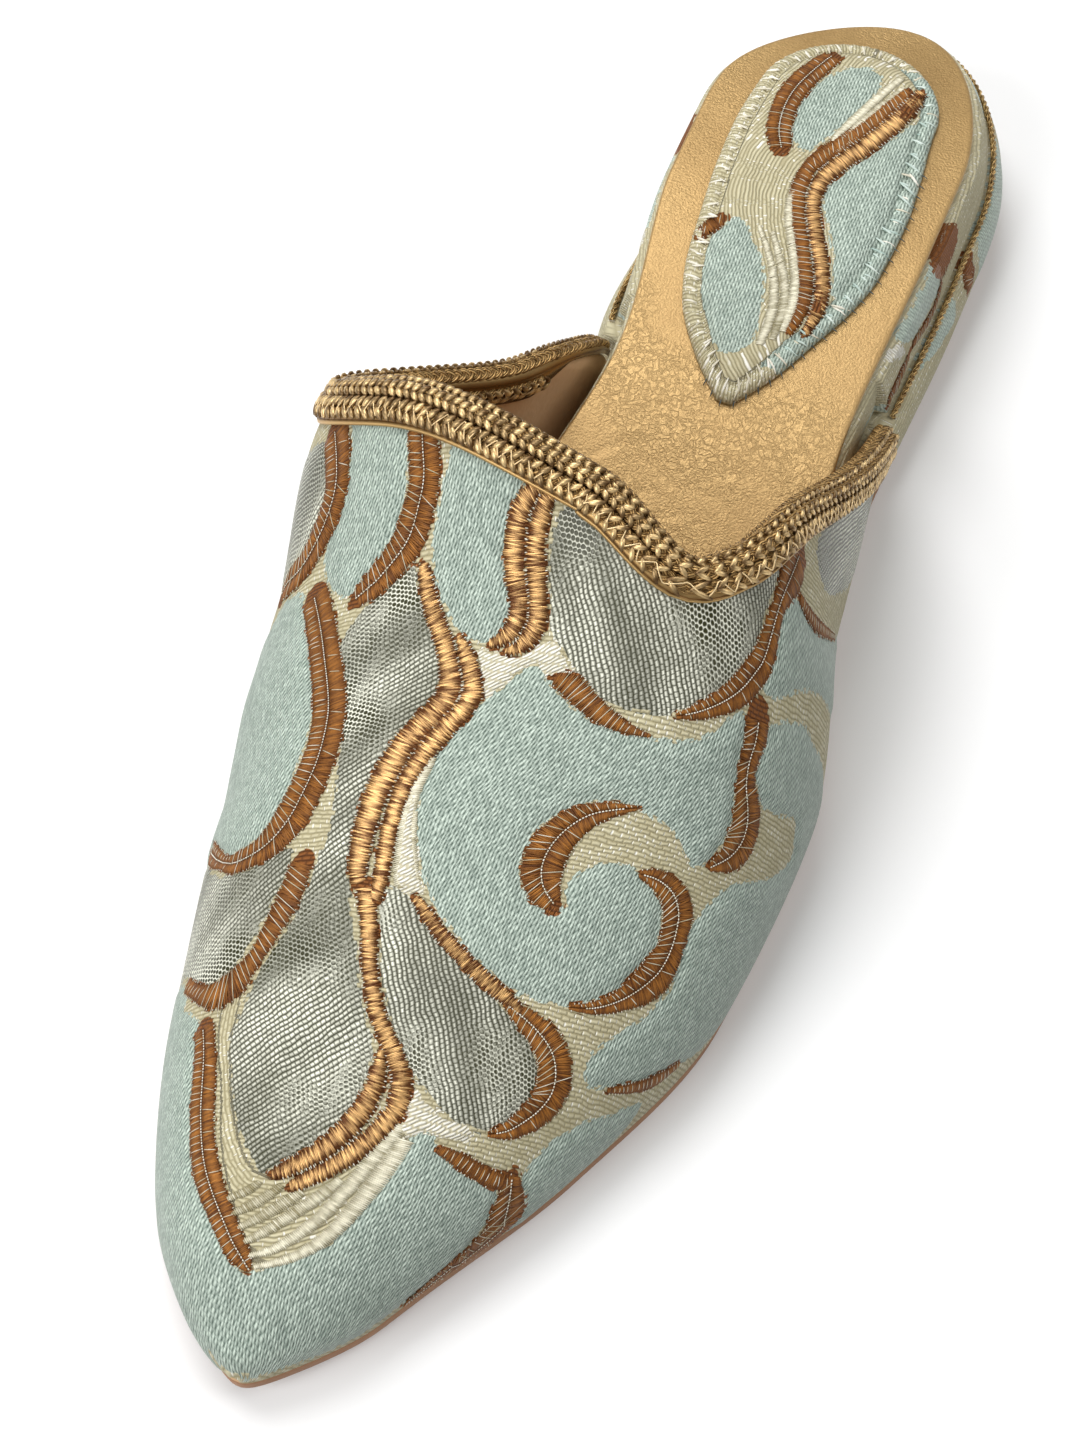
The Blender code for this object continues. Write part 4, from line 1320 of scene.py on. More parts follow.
def makeUpper():
    columns = upperSpec["columns"]
    angle = evenAngles(columns)
    edge = np.interp(angle, edgeAngles, edgeAlongs)
    toeStart = shoe["length"] - shoe["toeRound"]
    body = edge + (toeStart - edge) * np.linspace(0, 1, upperSpec["bodyRows"])[:, None]
    turns = np.linspace(math.pi / 2, 0.09, upperSpec["toeRows"])[1:]
    toe = np.repeat((shoe["length"] - shoe["toeRound"] * (1 - np.cos(turns)))[:, None], columns + 1, 1)
    along = np.concatenate([body, toe])
    spread = np.broadcast_to(angle, along.shape)
    v = arcLength(along, spread)
    spots = np.stack([along.ravel(), v.ravel()], 1)
    marks, cord, paths = markMotifs(upperSheet, spots, aquaChart, silverChart, whiteChart, bandChart)
    # right of the spine the silver's twill leans the other way
    other = [insideDistance(spots, chartLoop(upperSheet, silverChart[n])) for n in ("dome", "teardrop")]
    marks["lean"] = np.where(np.maximum(*other) > -1.0, -1.0, 1.0)
    for name, loops in farChart.items():
        for loop in loops:
            marks[name] = np.maximum(marks[name], insideDistance(spots, smoothLine(loop, True, 0.8)))
    relief = (weaveRelief(marks, cord) + creases(upperSheet, spots)).reshape(along.shape)
    relief *= softStep(along - edge, 0, 3.0) * softStep(spread, 0, 0.06) * softStep(math.pi - spread, 0, 0.06)
    outer = shell(along, spread) + slopes(along, spread)[2] * relief[..., None]
    wide, tall = columns + 1, len(along)
    # lining, a coarser inner wall
    pick = np.linspace(0, columns, upperSpec["liningColumns"] + 1).round().astype(int)
    share = np.linspace(0, 1, upperSpec["liningRows"] + 1)[:, None]
    innerAlong = edge[pick] + (shoe["length"] - shoe["toeWall"] - edge[pick]) * share
    innerAngle = np.broadcast_to(angle[pick], innerAlong.shape)
    inner = shell(innerAlong, innerAngle) - shoe["wall"] * slopes(innerAlong, innerAngle)[2]
    inner[..., 2] = np.maximum(inner[..., 2], feather(inner[..., 1]))
    for column in (0, -1):
        inner[:, column, 2] = feather(inner[:, column, 1])
    shift = tall * wide
    innerWide, innerTall = len(pick), len(share)
    faces = gridQuads(tall - 1, columns).tolist()
    outerCount = len(faces)
    faces += (shift + gridQuads(innerTall - 1, innerWide - 1)[:, [0, 3, 2, 1]]).tolist()
    for c in range(innerWide - 1):  # rim of the collar
        faces.append([*range(pick[c], pick[c + 1] + 1), shift + c + 1, shift + c])
    rowPick = np.linspace(0, tall - 1, innerTall).round().astype(int)
    for r in range(innerTall - 1):  # rims of the feather line
        right = [i * wide for i in range(rowPick[r], rowPick[r + 1] + 1)]
        innerRight = shift + r * innerWide
        innerLeft = innerRight + innerWide - 1
        faces.append([innerRight, innerRight + innerWide] + right[::-1])
        faces.append([innerLeft + innerWide, innerLeft] + [i + columns for i in right])
    faces.append([(tall - 1) * wide + c for c in range(wide)])
    last = shift + (innerTall - 1) * innerWide
    faces.append([last + c for c in reversed(range(innerWide))])
    faces.append([(tall - 1) * wide + columns, (tall - 1) * wide, last, last + innerWide - 1])
    points = place(np.concatenate([outer.reshape(-1, 3), inner.reshape(-1, 3)]))
    ribU, ribV = rotated(*spots.T, brocade["ribTurn"])
    fan = insideDistance(spots, chartLoop(upperSheet, fanGround)) > 0
    foot = smoothLine([castPixel(upperSheet, *p) for p in fanLine], False, 1.0)
    ribV[fan], ribU[fan] = followLine(spots[fan], foot)
    floatU, floatV = rotated(*spots.T, brocade["floatTurn"])
    marks.update(
        threadU=spots[:, 0], threadV=spots[:, 1], ribU=ribU, ribV=ribV, floatU=floatU, floatV=floatV,
        ply=np.ones(len(spots)))
    extra = np.full(innerTall * innerWide, -4.0)  # the lining has no motifs
    attributes = {name: np.concatenate([values, extra]) for name, values in marks.items()}
    material = [0] * outerCount + [1] * (len(faces) - outerCount)
    addPiece("brocadeUpper", points, faces, (brocadeCloth, lining), ("upper",), attributes, material)
    return paths


upperPaths = makeUpper()
print("upper woven")

growBands(bandStitches(upperFace, upperPaths), ("copperStitches", "bronzeStitches", "couchingStitches"))
growStitches("pearlStitches", pearlStitches(upperSheet, upperFace, pearlChart), pearlThread)
print("upper stitched")


# each point of the rings and the next one round
def ringPairs(count, size):
    first = np.arange(count - 1)[:, None] * size
    return (first + np.arange(size)).ravel(), (first + (np.arange(size) + 1) % size).ravel()


# faces over a flat ring, right and left points joined in pairs
def ladder(size):
    rungs = [[i, i + 1, size - 2 - i, size - 1 - i] for i in range(size // 2 - 1)]
    return rungs + ([[size // 2 - 1, size // 2, size // 2 + 1]] if size % 2 else [])


# rings of points joined along the shoe, closed at both ends
def ringFaces(count, size, caps=None):
    a, b = ringPairs(count, size)
    faces = np.stack([a, a + size, b + size, b], 1).tolist()
    last = (count - 1) * size
    for cap in caps or ladder(size):
        faces += [cap, [last + k for k in reversed(cap)]]
    return faces


def fineStations(heel=40, body=130, toe=26):
    tight = 0.05
    back = shoe["heelRound"] * (1 - np.cos(np.linspace(tight, math.pi / 2, heel)))
    front = shoe["length"] - shoe["toeRound"] * (1 - np.cos(np.linspace(math.pi / 2, tight, toe)))
    middle = np.linspace(shoe["heelRound"], shoe["length"] - shoe["toeRound"], body)
    return np.unique(np.round(np.concatenate([back, middle, front]), 4))


# one ring per station from levels of left, right, along, height, listed from the bottom up
def stackRings(levels):
    right = np.stack([np.stack([r, s, h], 1) for _, r, s, h in levels], 1)
    left = np.stack([np.stack([l, s, h], 1) for l, _, s, h in reversed(levels)], 1)
    return np.concatenate([right, left], 1)


# outsole
outsoleSpec = {"edgeRound": 0.5, "edgeRows": 4}


def makeOutsole():
    along = fineStations()
    r = outsoleSpec["edgeRound"]
    turns = np.linspace(0, math.pi / 2, outsoleSpec["edgeRows"])
    rows = [(r * (1 - math.sin(t)), r * (1 - math.cos(t))) for t in turns]
    rows += [(r * (1 - math.cos(t)), shoe["outsoleThick"] - r * (1 - math.sin(t))) for t in turns]
    rings = stackRings([(*outline(along, inset, inset, 1.0), spring(along) + rise) for inset, rise in rows])
    addPiece("soleLeather", place(rings), ringFaces(*rings.shape[:2]), (tanLeather,), ("outsole",))


makeOutsole()


# insole: gilt leather with wrinkles pressed in towards the instep
insoleSpec = {"thick": 1.5, "edgeRound": 0.5, "inset": 5.7, "toeBack": 11.0, "columns": 96}

# wrinkles read one by one: across, along, length, turn in degrees, depth
wrinkleTable = np.array((
    (-7, 108, 11, 12, 0.24), (1, 111, 12, -8, 0.26), (8, 107, 9, 24, 0.2), (-12, 103, 9, -16, 0.18),
    (-3, 104, 10, 6, 0.22), (4, 101, 9, -20, 0.16), (-8, 98, 8, 30, 0.14), (12, 100, 10, 42, 0.16),
    (-16, 96, 8, 50, 0.12), (18, 88, 14, 60, 0.12), (22, 70, 16, 72, 0.1), (-14, 112, 9, 4, 0.2),
    (10, 114, 10, 12, 0.22), (-4, 116, 12, 2, 0.24), (-20, 84, 9, 66, 0.1),
))


def wrinkles(across, along):
    depth = np.zeros_like(across)
    for x, s, size, turn, deep in wrinkleTable:
        run, off = rotated(across - x, along - s, turn)
        off = off + 1.2 * np.sin(run * 0.45 + x)
        fade = np.exp(-(run / (0.45 * size)) ** 4)
        depth += deep * fade * (0.55 * np.exp(-((off - 0.9) / 0.9) ** 2) - np.exp(-(off / 0.5) ** 2))
    return depth


def makeInsole():
    along = fineStations(40, 210, 26)
    r, thick = insoleSpec["edgeRound"], insoleSpec["thick"]
    # inset and depth of each row of the edge, from the bottom up
    sides = [(0.2, thick), (0.0, thick - r), (0.0, r), (0.15 * r, 0.5 * r), (0.5 * r, 0.15 * r)]
    levels = []
    for inset, depth in sides:
        left, right, placed = outline(along, insoleSpec["inset"] + inset, insoleSpec["toeBack"])
        levels.append((left, right, placed, insoleTop(placed) - depth))
    edges = stackRings(levels)
    left, right, placed = (c[:, None] for c in outline(along, insoleSpec["inset"] + r, insoleSpec["toeBack"]))
    spread = np.linspace(1, -1, insoleSpec["columns"] + 1)
    x = (left + right) / 2 + (right - left) / 2 * spread
    s = np.broadcast_to(placed, x.shape)
    top = np.stack([x, s, insoleTop(s) + wrinkles(x, s) * softStep(1 - np.abs(spread), 0, 0.12)], -1)
    rings = np.concatenate([edges[:, :len(sides)], top, edges[:, len(sides):]], 1)
    addPiece("giltInsole", place(rings), ringFaces(*rings.shape[:2]), (goldLeather,), ("insole",))


makeInsole()
print("soles made")

# heel bands: brocade over the platform and the wedge
heelSpec = {
    "seamInset": 2.3, "grooveDepth": 1.2, "grooveHalf": 0.8, "bulge": 2.0, "wedgeTop": 0.8,
    "wedgeEnd": 140.0, "wedgeInner": 3.6, "innerToeBack": 10.0, "rows": 26, "edgeRound": 0.5,
}

platformAqua = {
    "lens": [(936, 263), (941, 272), (938, 290), (920, 328), (908, 342), (897, 340), (900, 322), (922, 278),
        (929, 266)],
    "back": [(962, 66), (980, 88), (988, 108), (987, 120), (970, 108)],
    "sliver": [(890, 400), (893, 408), (884, 424), (872, 434), (872, 426)],
}
platformBand = {
    "block": (1, 0.0, [(948, 238, 20), (941, 250, 26), (936, 262, 20)]),
    "edge": (1, 0.0, [(941, 282, 6), (935, 305, 7), (925, 325, 7), (912, 345, 6)]),
    "end": (1, 0.0, [(908, 356, 6), (902, 372, 9), (894, 392, 8), (888, 408, 5)]),
}
platformWhite = {"knot": [(888, 347), (902, 345), (906, 352), (898, 360), (886, 358)]}
wedgeAqua = {
    "lens": [(952, 296), (956, 312), (950, 330), (922, 368), (912, 372), (914, 360), (938, 318), (946, 302)],
    "heel": [(1004, 150), (1006, 200), (998, 235), (975, 285), (972, 240), (982, 205), (990, 170),
        (994, 140)],
}
wedgeBand = {"block": (1, 0.0, [(962, 254, 16), (966, 270, 17), (967, 286, 12)])}


# perimeter length of each wall from the back of the heel, positive on the right
def wallRun(left, right, along):
    rightRun, leftRun = (walkedLength(np.stack([wall, along], 1)) + right[0] for wall in (right, left))
    return rightRun, -leftRun


def makeHeelBand(name, levels, charts, nodes):
    rings = stackRings(levels)
    count, size = rings.shape[:2]
    rows = len(levels)
    left, right, along = levels[rows // 2][:3]
    u = np.concatenate([np.repeat(run[:, None], rows, 1) for run in wallRun(left, right, along)], 1)
    v = rings[..., 2]
    flat = np.stack([u, v], -1)
    triangles = gridTriangles(count - 1, rows - 1)
    sheet = chartSurface(place(rings[:, :rows]).reshape(-1, 3), flat[:, :rows].reshape(-1, 2), triangles)
    # the left wall repeats the right one's motifs
    mirrored = np.stack([np.abs(u), v], -1).reshape(-1, 2)
    marks, cord, paths = markMotifs(sheet, mirrored, charts[0], {}, charts[1], charts[2])
    relief = np.clip(weaveRelief(marks, cord), -0.1, 0.4)
    inner = np.ones(rows)
    inner[[0, 1, -2, -1]] = 0
    relief = relief.reshape(count, size) * np.concatenate([inner, inner[::-1]])
    side = rings[..., 0] - ((left + right) / 2)[:, None]
    relief *= softStep(np.abs(side), 0.5, 6)  # none where the two sides meet at the back
    rings[..., 0] += np.sign(side) * relief * 0.6
    across = (v + 0.7 * np.sin(u / 7)).ravel()
    u, v = u.ravel(), v.ravel()
    # the heel bands take less painted shade in their grooves, so their walls, which sit in shade, are painted
    # lighter
    marks.update(threadU=v, threadV=u, ribU=across, ribV=u, floatU=u, floatV=across, ply=np.full(u.size, 0.6))
    addPiece(name, place(rings), ringFaces(count, size), (brocadeCloth,), nodes, marks)
    return bandStitches(sheet, paths)


def makeWedge():
    along = np.unique(np.concatenate([fineStations(), (shoe["sideSeam"] - 0.3, shoe["sideSeam"] + 0.3)]))
    along = np.append(along[along < heelSpec["wedgeEnd"]], heelSpec["wedgeEnd"])
    shown = along < shoe["sideSeam"]
    levels = []
    for share in np.linspace(0, heelSpec["wedgeTop"], heelSpec["rows"]):
        inset = heelSpec["seamInset"] * share - heelSpec["bulge"] * math.sin(math.pi * share)
        left, right, placed = outline(along, np.where(shown, inset, heelSpec["wedgeInner"]), lean=1.0)
        low = feather(placed)
        top = seamHeight(placed) - heelSpec["grooveHalf"]
        levels.append((left, right, placed, low + (top - low) * share / heelSpec["wedgeTop"]))
    deep = np.where(shown, heelSpec["seamInset"], heelSpec["wedgeInner"]) + heelSpec["grooveDepth"]
    left, right, placed = outline(along, deep, lean=1.0)
    levels.append((left, right, placed, seamHeight(placed) - shoe["gap"] / 2))
    return makeHeelBand("wedgeCover", levels, (wedgeAqua, {}, wedgeBand), ("heel_wedge",))


def makePlatform():
    end = heelSpec["wedgeEnd"]
    step = shoe["platformStep"]
    along = np.unique(np.concatenate([fineStations(), (step - 0.3, step + 0.3, end, end + 0.3, end + 0.6)]))
    shown = along < step
    behind = along < end + 0.45
    lift = np.where(behind, heelSpec["grooveHalf"], heelSpec["edgeRound"])
    # share of the height, inset at the heel, inset under the upper
    profile = np.array(((0.0, 2.3, 4.4), (0.5, 3.1, 4.4), (0.88, 4.1, 4.8), (1.0, 5.3, 5.7)))
    levels = []
    # the first row lies deep in the groove
    rows = [(0.0, 0.0, heelSpec["grooveDepth"], 0.6)]
    rows += [(share, 1.0, 0.0, 0.0) for share in np.linspace(0, 1, heelSpec["rows"])]
    for share, out, heelDeep, underDeep in rows:
        heel, under = (np.interp(share, profile[:, 0], profile[:, c]) for c in (1, 2))
        inset = np.where(shown, heel + heelDeep, under + underDeep)
        left, right, placed = outline(along, inset, heelSpec["innerToeBack"], 1.0 - share)
        low = np.where(behind, seamHeight(placed) + shoe["gap"] / 2, feather(placed))
        top = insoleTop(placed) - insoleSpec["thick"] - shoe["gap"]
        levels.append((left, right, placed, low + out * lift + (top - low - lift) * share))
    charts = (platformAqua, platformWhite, platformBand)
    return makeHeelBand("platformCover", levels, charts, ("platform",))


heelStitches = [wedge + platform for wedge, platform in zip(makeWedge(), makePlatform())]
growBands(heelStitches, ("", "heelBronzeStitches", "heelCouchingStitches"))
print("heel bands made")

# heel pad: a thin stuffed teardrop, its edge drawn down by the overcasting
padSpec = {
    "back": 13.5, "tip": 89.5, "round": 14.0, "thick": 2.4, "lift": 0.3, "rings": 60, "spokes": 220,
    "last": 0.985, "pucker": 0.3, "puckerPitch": 2.2, "hem": 3.2, "hemRise": 1.6, "fill": 0.7,
    "rim": 2.6, "crownWide": 4.0, "rimShare": 0.42, "aquaFrom": 17, "aquaTo": 82,
}


def padOutline():
    turn = np.linspace(0.0, math.pi, 400)
    along = padSpec["back"] + (padSpec["tip"] - padSpec["back"]) * (1 - np.cos(turn)) / 2
    shut = np.sqrt(np.clip(1 - np.clip(1 - (along - padSpec["back"]) / padSpec["round"], 0, 1) ** 2, 0, 1))
    left, right = (readTable(padTable, c, along) for c in (1, 2))
    middle, half = (right - left) / 2, (left + right) / 2 * shut
    loop = np.concatenate([np.stack([middle + half, along], 1), np.stack([middle - half, along], 1)[::-1]])
    walked = walkedLength(loop)
    even = np.linspace(0, walked[-1], padSpec["spokes"], endpoint=False)
    return pointsAt(even, walked, loop), even


def padSpine(spot):
    s = np.clip(spot[:, 1], padSpec["back"] + 13, padSpec["tip"] - 16)
    left, right = (readTable(padTable, c, s) for c in (1, 2))
    return np.stack([(right - left) / 2, s], 1)


def makePad():
    rim, even = padOutline()
    core = padSpine(rim)
    shares = padSpec["last"] * (1 - (1 - np.linspace(0, 1, padSpec["rings"])) ** 0.8)  # from rim to spine
    flat = rim[None] + (core - rim)[None] * shares[:, None, None]
    inward = np.linalg.norm(core - rim, axis=1)[None] * shares[:, None]
    field = np.clip((inward - padSpec["rim"]) / padSpec["crownWide"], 0, 1)
    low = padSpec["rimShare"]
    rise = padSpec["thick"] * (low + (1 - low) * np.sqrt(1 - (1 - field) ** 2))
    hem = np.clip(1 - ((inward - padSpec["hem"] / 2) / (padSpec["hem"] / 2)) ** 2, 0, 1)
    rise = np.maximum(rise * softStep(inward, 0, 1.0), padSpec["hemRise"] * np.sqrt(hem))
    rise[0] = padSpec["thick"] * 0.15
    beat = even / padSpec["puckerPitch"] * 2 * math.pi
    ripple = (np.sin(beat + 0.8 * np.sin(even / 7.0)) + 0.5 * np.sin(1.7 * beat))[None] * padSpec["pucker"]
    rise = rise + ripple * hem
    base = insoleTop(flat[..., 1]) + padSpec["lift"]
    top = np.stack([flat[..., 0], flat[..., 1], base + rise], -1)
    spots = flat.reshape(-1, 2)
    count, size = padSpec["rings"], padSpec["spokes"]
    a, b = ringPairs(count, size)
    triangles = np.concatenate([np.stack([a, b, b + size], 1), np.stack([a, b + size, a + size], 1)])
    sheet = chartSurface(place(top).reshape(-1, 3), spots, triangles)
    marks, cord, paths = markMotifs(sheet, spots, padAquaChart, {}, {}, padBandChart)
    relief = weaveRelief(marks, cord).reshape(count, size) * softStep(inward, 1.5, 4.0)
    top[..., 2] += relief
    bottom = np.stack([rim[:, 0], rim[:, 1], insoleTop(rim[:, 1]) + padSpec["lift"]], 1)
    points = place(np.concatenate([top.reshape(-1, 3), bottom]))
    faces = np.stack([a, b, b + size, a + size], 1).tolist()
    under = count * size
    faces += [[i, under + i, under + (i + 1) % size, (i + 1) % size] for i in range(size)]
    faces.append([under + i for i in reversed(range(size))])
    faces += [[under - size + k for k in rung] for rung in ladder(size)]
    ribRun, ribOff = followLine(spots, chartBand(sheet, padBandChart["spineRight"][2])[:, :2])
    # the hem's threads lie square to its edge; on the right it is aqua
    onHem = inward.ravel() < padSpec["hem"]
    aquaSide = (spots[:, 0] > 1) & (spots[:, 1] > padSpec["aquaFrom"]) & (spots[:, 1] < padSpec["aquaTo"])
    marks["aqua"] = np.where(onHem, np.where(aquaSide, 1.0, -1.0), marks["aqua"])
    marks["copper"] = np.where(inward.ravel() < 1.5, -1.0, marks["copper"])
    ribOff[onHem] = np.tile(even, count)[onHem]
    ribRun[onHem] = inward.ravel()[onHem]
    marks.update(
        threadU=spots[:, 1], threadV=spots[:, 0], ribU=ribOff, ribV=ribRun, floatU=ribOff, floatV=ribRun,
        ply=np.full(len(spots), 0.95))
    attributes = {name: np.concatenate([values, values[:size]]) for name, values in marks.items()}
    pad = addPiece("heelPad", points, faces, (brocadeCloth,), ("heel_pad",), attributes)
    return pad, sheet, paths, rim, core


heelPad, padSheet, padPaths, padRim, padCore = makePad()

padStitches = bandStitches(padSheet, padPaths)
growBands(padStitches, ("padCopperStitches", "padBronzeStitches", "padCouchingStitches"))
growStitches("padPearlStitches", pearlStitches(padSheet, padSheet, padPearlChart), pearlThread)

overcast = {
    "pitch": 1.2, "reach": 3.0, "thread": 0.5, "lift": 0.16, "crown": 0.3, "aquaFrom": 18, "aquaTo": 80,
    "tailPitch": 2.3, "tail": 2.0, "tailThread": 0.24, "tailFrom": 36, "tailTo": 90,
}


# overcasting all round the pad, pale at the back and aqua on the right, with short dark tails
def overcastPad():
    loop, deep = (np.concatenate([line, line[:1]]) for line in (padRim, padCore))
    walked = walkedLength(loop)
    at = np.arange(0, walked[-1], overcast["pitch"])
    edge = pointsAt(at, walked, loop)
    inward = unit(pointsAt(at, walked, deep) - edge, 1e-6)
    zigzag = np.where(np.arange(len(at)) % 2, 1, -1)[:, None] * chance.uniform(0.2, 1.0, (len(at), 1))
    reach = overcast["reach"] * chance.uniform(0.7, 1.15, (len(at), 1))
    p1, _ = liftFlat(padSheet, edge + inward * 0.1)
    p2, n2 = liftFlat(padSheet, edge + inward * reach + leftward(inward) * zigzag)
    pale, aqua, dark = [], [], []
    upright = np.array((0, 0, 1.0))
    for spot, one, two, normal in zip(edge, p1, p2, n2):
        aquaSide = spot[0] > 0 and overcast["aquaFrom"] < spot[1] < overcast["aquaTo"]
        made = aqua if aquaSide and chance.random() < 0.6 else pale
        lift = upright * overcast["lift"]
        up = unit(normal * 0.5 + upright * 0.5)
        tone = chance.uniform(0.3, 1)
        made.append(layStitch(
            one + lift, two + lift, up, 0.0, overcast["thread"], overcast["crown"], tone, 1.05))
    tails = np.arange(0, walked[-1], overcast["tailPitch"])
    for spot, into in zip(pointsAt(tails, at, edge), pointsAt(tails, at, inward)):
        if spot[0] > -4 and overcast["tailFrom"] < spot[1] < overcast["tailTo"]:
            ends = place([[*(spot - into * overcast["tail"] / 2), 0], [*(spot + into * 0.6), 0]])
            ends[:, 2] = insoleTop(spot[1]) + np.array((0.25, 0.9))
            dark.append(layStitch(*ends, upright, 0.0, overcast["tailThread"], 0.2, chance.uniform(0, 1)))
    growStitches("padEdgePale", pale, paleThread)
    growStitches("padEdgeAqua", aqua, aquaThread)
    growStitches("padEdgeTails", dark, darkThread)


overcastPad()
print("heel pad made")

# collar braid: fine plaits and thin crossing threads over a core folded round the edge
braidSpec = {
    "start": 9.5, "end": 172.0, "strand": 0.5, "sway": 0.8, "heave": 0.25, "period": 3.8, "perPeriod": 12,
    "innerRise": 4.0, "innerFade": 6.0, "lastLip": 0.1, "lastLeg": 0.04,
    "thread": 0.12, "zigzag": 3.0, "perZigzag": 12,
    "chainPitch": 1.5, "chainLean": 1.5, "chainThread": 1.1,
}

# distance from the edge, off the face: the core's section
braidCore = np.array((
    (7.3, 0.4), (7.5, 0.7), (7.0, 1.1), (6.3, 0.9), (4.7, 0.8), (3.3, 0.5), (2.0, 0.8), (0.7, 0.5),
    (0.3, -0.9), (0.7, -2.6), (2.4, -3.1), (6.2, -3.0), (6.6, -2.3), (1.5, -2.3), (1.5, 0.5),
))

# share of the full width at angles round the collar
braidWidth = np.array(((0, 0.72), (60, 0.76), (76, 0.8), (100, 0.9), (140, 0.95), (180, 0.85)))

# distance from the edge, off the face, part of the length it runs on: the rows of plaiting
plaitRows = ((4.7, 1.0, "all"), (2.0, 1.0, "all"), (0.1, -0.9, "all"), (3.0, -3.1, "inner"))

# the same for the thin threads that cross over them, with their half width
crossRows = ((5.0, 1.95, 1.6, "all"), (3.0, -3.95, 1.3, "inner"))

# and for the chain stitches, with their half width
chainRows = (
    (5.05, 1.2, 1.7, "all"), (2.0, 1.2, 1.25, "all"), (0.35, 0.0, 0.8, "all"), (3.0, -3.3, 1.5, "inner"))


def braidShare(angle):
    return np.interp(np.degrees(angle), braidWidth[:, 0], braidWidth[:, 1])


def braidReach(angle, distance, off):
    return distance * (braidShare(angle) if off > -1 else 1.0)


def collarLine(step):
    many = np.radians(np.linspace(braidSpec["start"], braidSpec["end"], 4000))
    walked = walkedLength(shell(collar(many), many))
    even = np.arange(0, walked[-1], step)
    return np.interp(even, walked, many), even


def innerFold(angle):
    height = shell(collar(angle), angle)[:, 2]
    above = height - insoleTop(collar(angle)) - braidSpec["innerRise"]
    return np.clip(above / braidSpec["innerFade"], 0, 1)


def shownPart(angle, part):
    return innerFold(angle) > 0.9 if part == "inner" else np.ones(len(angle), bool)


# the stretches of a line that show
def shownRuns(line, shown):
    spots = np.where(shown)[0]
    return [line[run] for run in np.split(spots, np.where(np.diff(spots) > 1)[0] + 1) if len(run) > 8]


# points at a distance from the collar's edge and a height off the face, and the way off it
def offCollar(angle, reach, rise):
    along, roundAt = fromCollar(angle, reach)
    out = slopes(along, roundAt)[2]
    return place(shell(along, roundAt) + np.reshape(rise, (-1, 1)) * out), out * (1, -1, 1)


# leaning pairs of stitches along each row, farther apart and thinner where the braid is narrow
def chainStitches():
    step = 0.25
    angle, _ = collarLine(step)
    pitch = braidSpec["chainPitch"] * np.interp(np.degrees(angle), (70, 100), (1.3, 1.0))
    beat = np.cumsum(step / pitch)
    count = np.arange(len(angle))
    at = np.interp(np.arange(1, int(beat[-1]) - 2), beat, count)
    first = np.interp(at, count, angle)
    last = np.interp(at + braidSpec["chainLean"] / step, count, angle)
    thread = braidSpec["chainThread"] * np.interp(first, angle, braidShare(angle))
    made = []
    for distance, off, half, part in chainRows:
        shown = shownPart(first, part)
        for edge in (-1, 1):
            p1, n1 = offCollar(first, braidReach(first, distance + edge * half, off), off)
            p2, n2 = offCollar(last, braidReach(last, distance - edge * 0.15, off), off)
            up = unit(n1 + n2) * (-1 if off < 0 else 1)
            made += [layStitch(a, b, n, 0.3, wide, 0.3, chance.uniform(0.25, 0.95), 1.1)
                     for a, b, n, wide in zip(p1[shown], p2[shown], up[shown], thread[shown])]
    return made


def makeFold():
    angle, _ = collarLine(1.0)
    fold = innerFold(angle)
    channel, under = braidCore[-2]
    rings = []
    for distance, off in braidCore:
        reach = np.full(len(angle), distance)
        rise = np.full(len(angle), off)
        if off <= under:
            rise = under + (off - under) * np.maximum(fold, braidSpec["lastLip"])
            if distance > channel:
                reach = channel + (distance - channel) * np.maximum(fold, braidSpec["lastLeg"])
        rings.append(offCollar(angle, braidReach(angle, reach, off), rise)[0])
    rings = np.stack(rings, 1)
    turn = np.repeat(np.linspace(0, 1, rings.shape[1])[None], len(angle), 0)
    count, size = rings.shape[:2]
    faces = [f[::-1] for f in ringFaces(count, size, [list(range(size))])]
    attributes = {"run": turn * 0, "turn": turn, "tone": turn * 0}
    addPiece("braidFold", rings, faces, (giltBraid,), ("collar_braid",), attributes)


def makePlaits():
    angle, even = collarLine(braidSpec["period"] / braidSpec["perPeriod"])
    lines, tones = [], []
    for row, (distance, off, part) in enumerate(plaitRows):
        phase = even / braidSpec["period"] * 2 * math.pi + row * 1.1
        for strand in range(3):
            own = phase + strand * 2 * math.pi / 3
            sway = braidSpec["sway"] * np.sin(own)
            heave = braidSpec["heave"] * np.sin(2 * own)
            reach, rise = braidReach(angle, distance + sway, off), off + heave * np.sign(off)
            if distance < 1:  # the row on the very edge sways through the thickness instead
                reach, rise = distance + heave, off + sway
            line, _ = offCollar(angle, reach, rise)
            runs = shownRuns(line, shownPart(angle, part))
            lines += runs
            tones += [(row * 3 + strand) * 0.37] * len(runs)
    growStrands("braidPlaits", lines, tones, braidSpec["strand"], 6, giltBraid)


def makeCrossings():
    angle, even = collarLine(braidSpec["zigzag"] / braidSpec["perZigzag"])
    lines, tones = [], []
    for distance, off, half, part in crossRows:
        for side in (0.0, 0.5) if part == "inner" else (0.0,):
            phase = even / braidSpec["zigzag"] + side
            phase = phase + 0.12 * np.sin(even / 3.1 + 5 * side) + 0.08 * np.sin(even / 1.3)
            swing = 2 * np.abs(2 * (phase - np.floor(phase + 0.5))) - 1
            swing = swing * (0.85 + 0.2 * np.sin(even / 2.3 + distance))
            rise = off - np.sign(off) * (0.45 * swing ** 2 - 0.1 * (side > 0))
            line, _ = offCollar(angle, braidReach(angle, distance + half * swing, off), rise)
            runs = shownRuns(line, shownPart(angle, part))
            lines += runs
            tones += [chance.uniform(0.3, 0.9) for _ in runs]
    growStrands("braidCrossings", lines, tones, braidSpec["thread"], 4, giltThread)


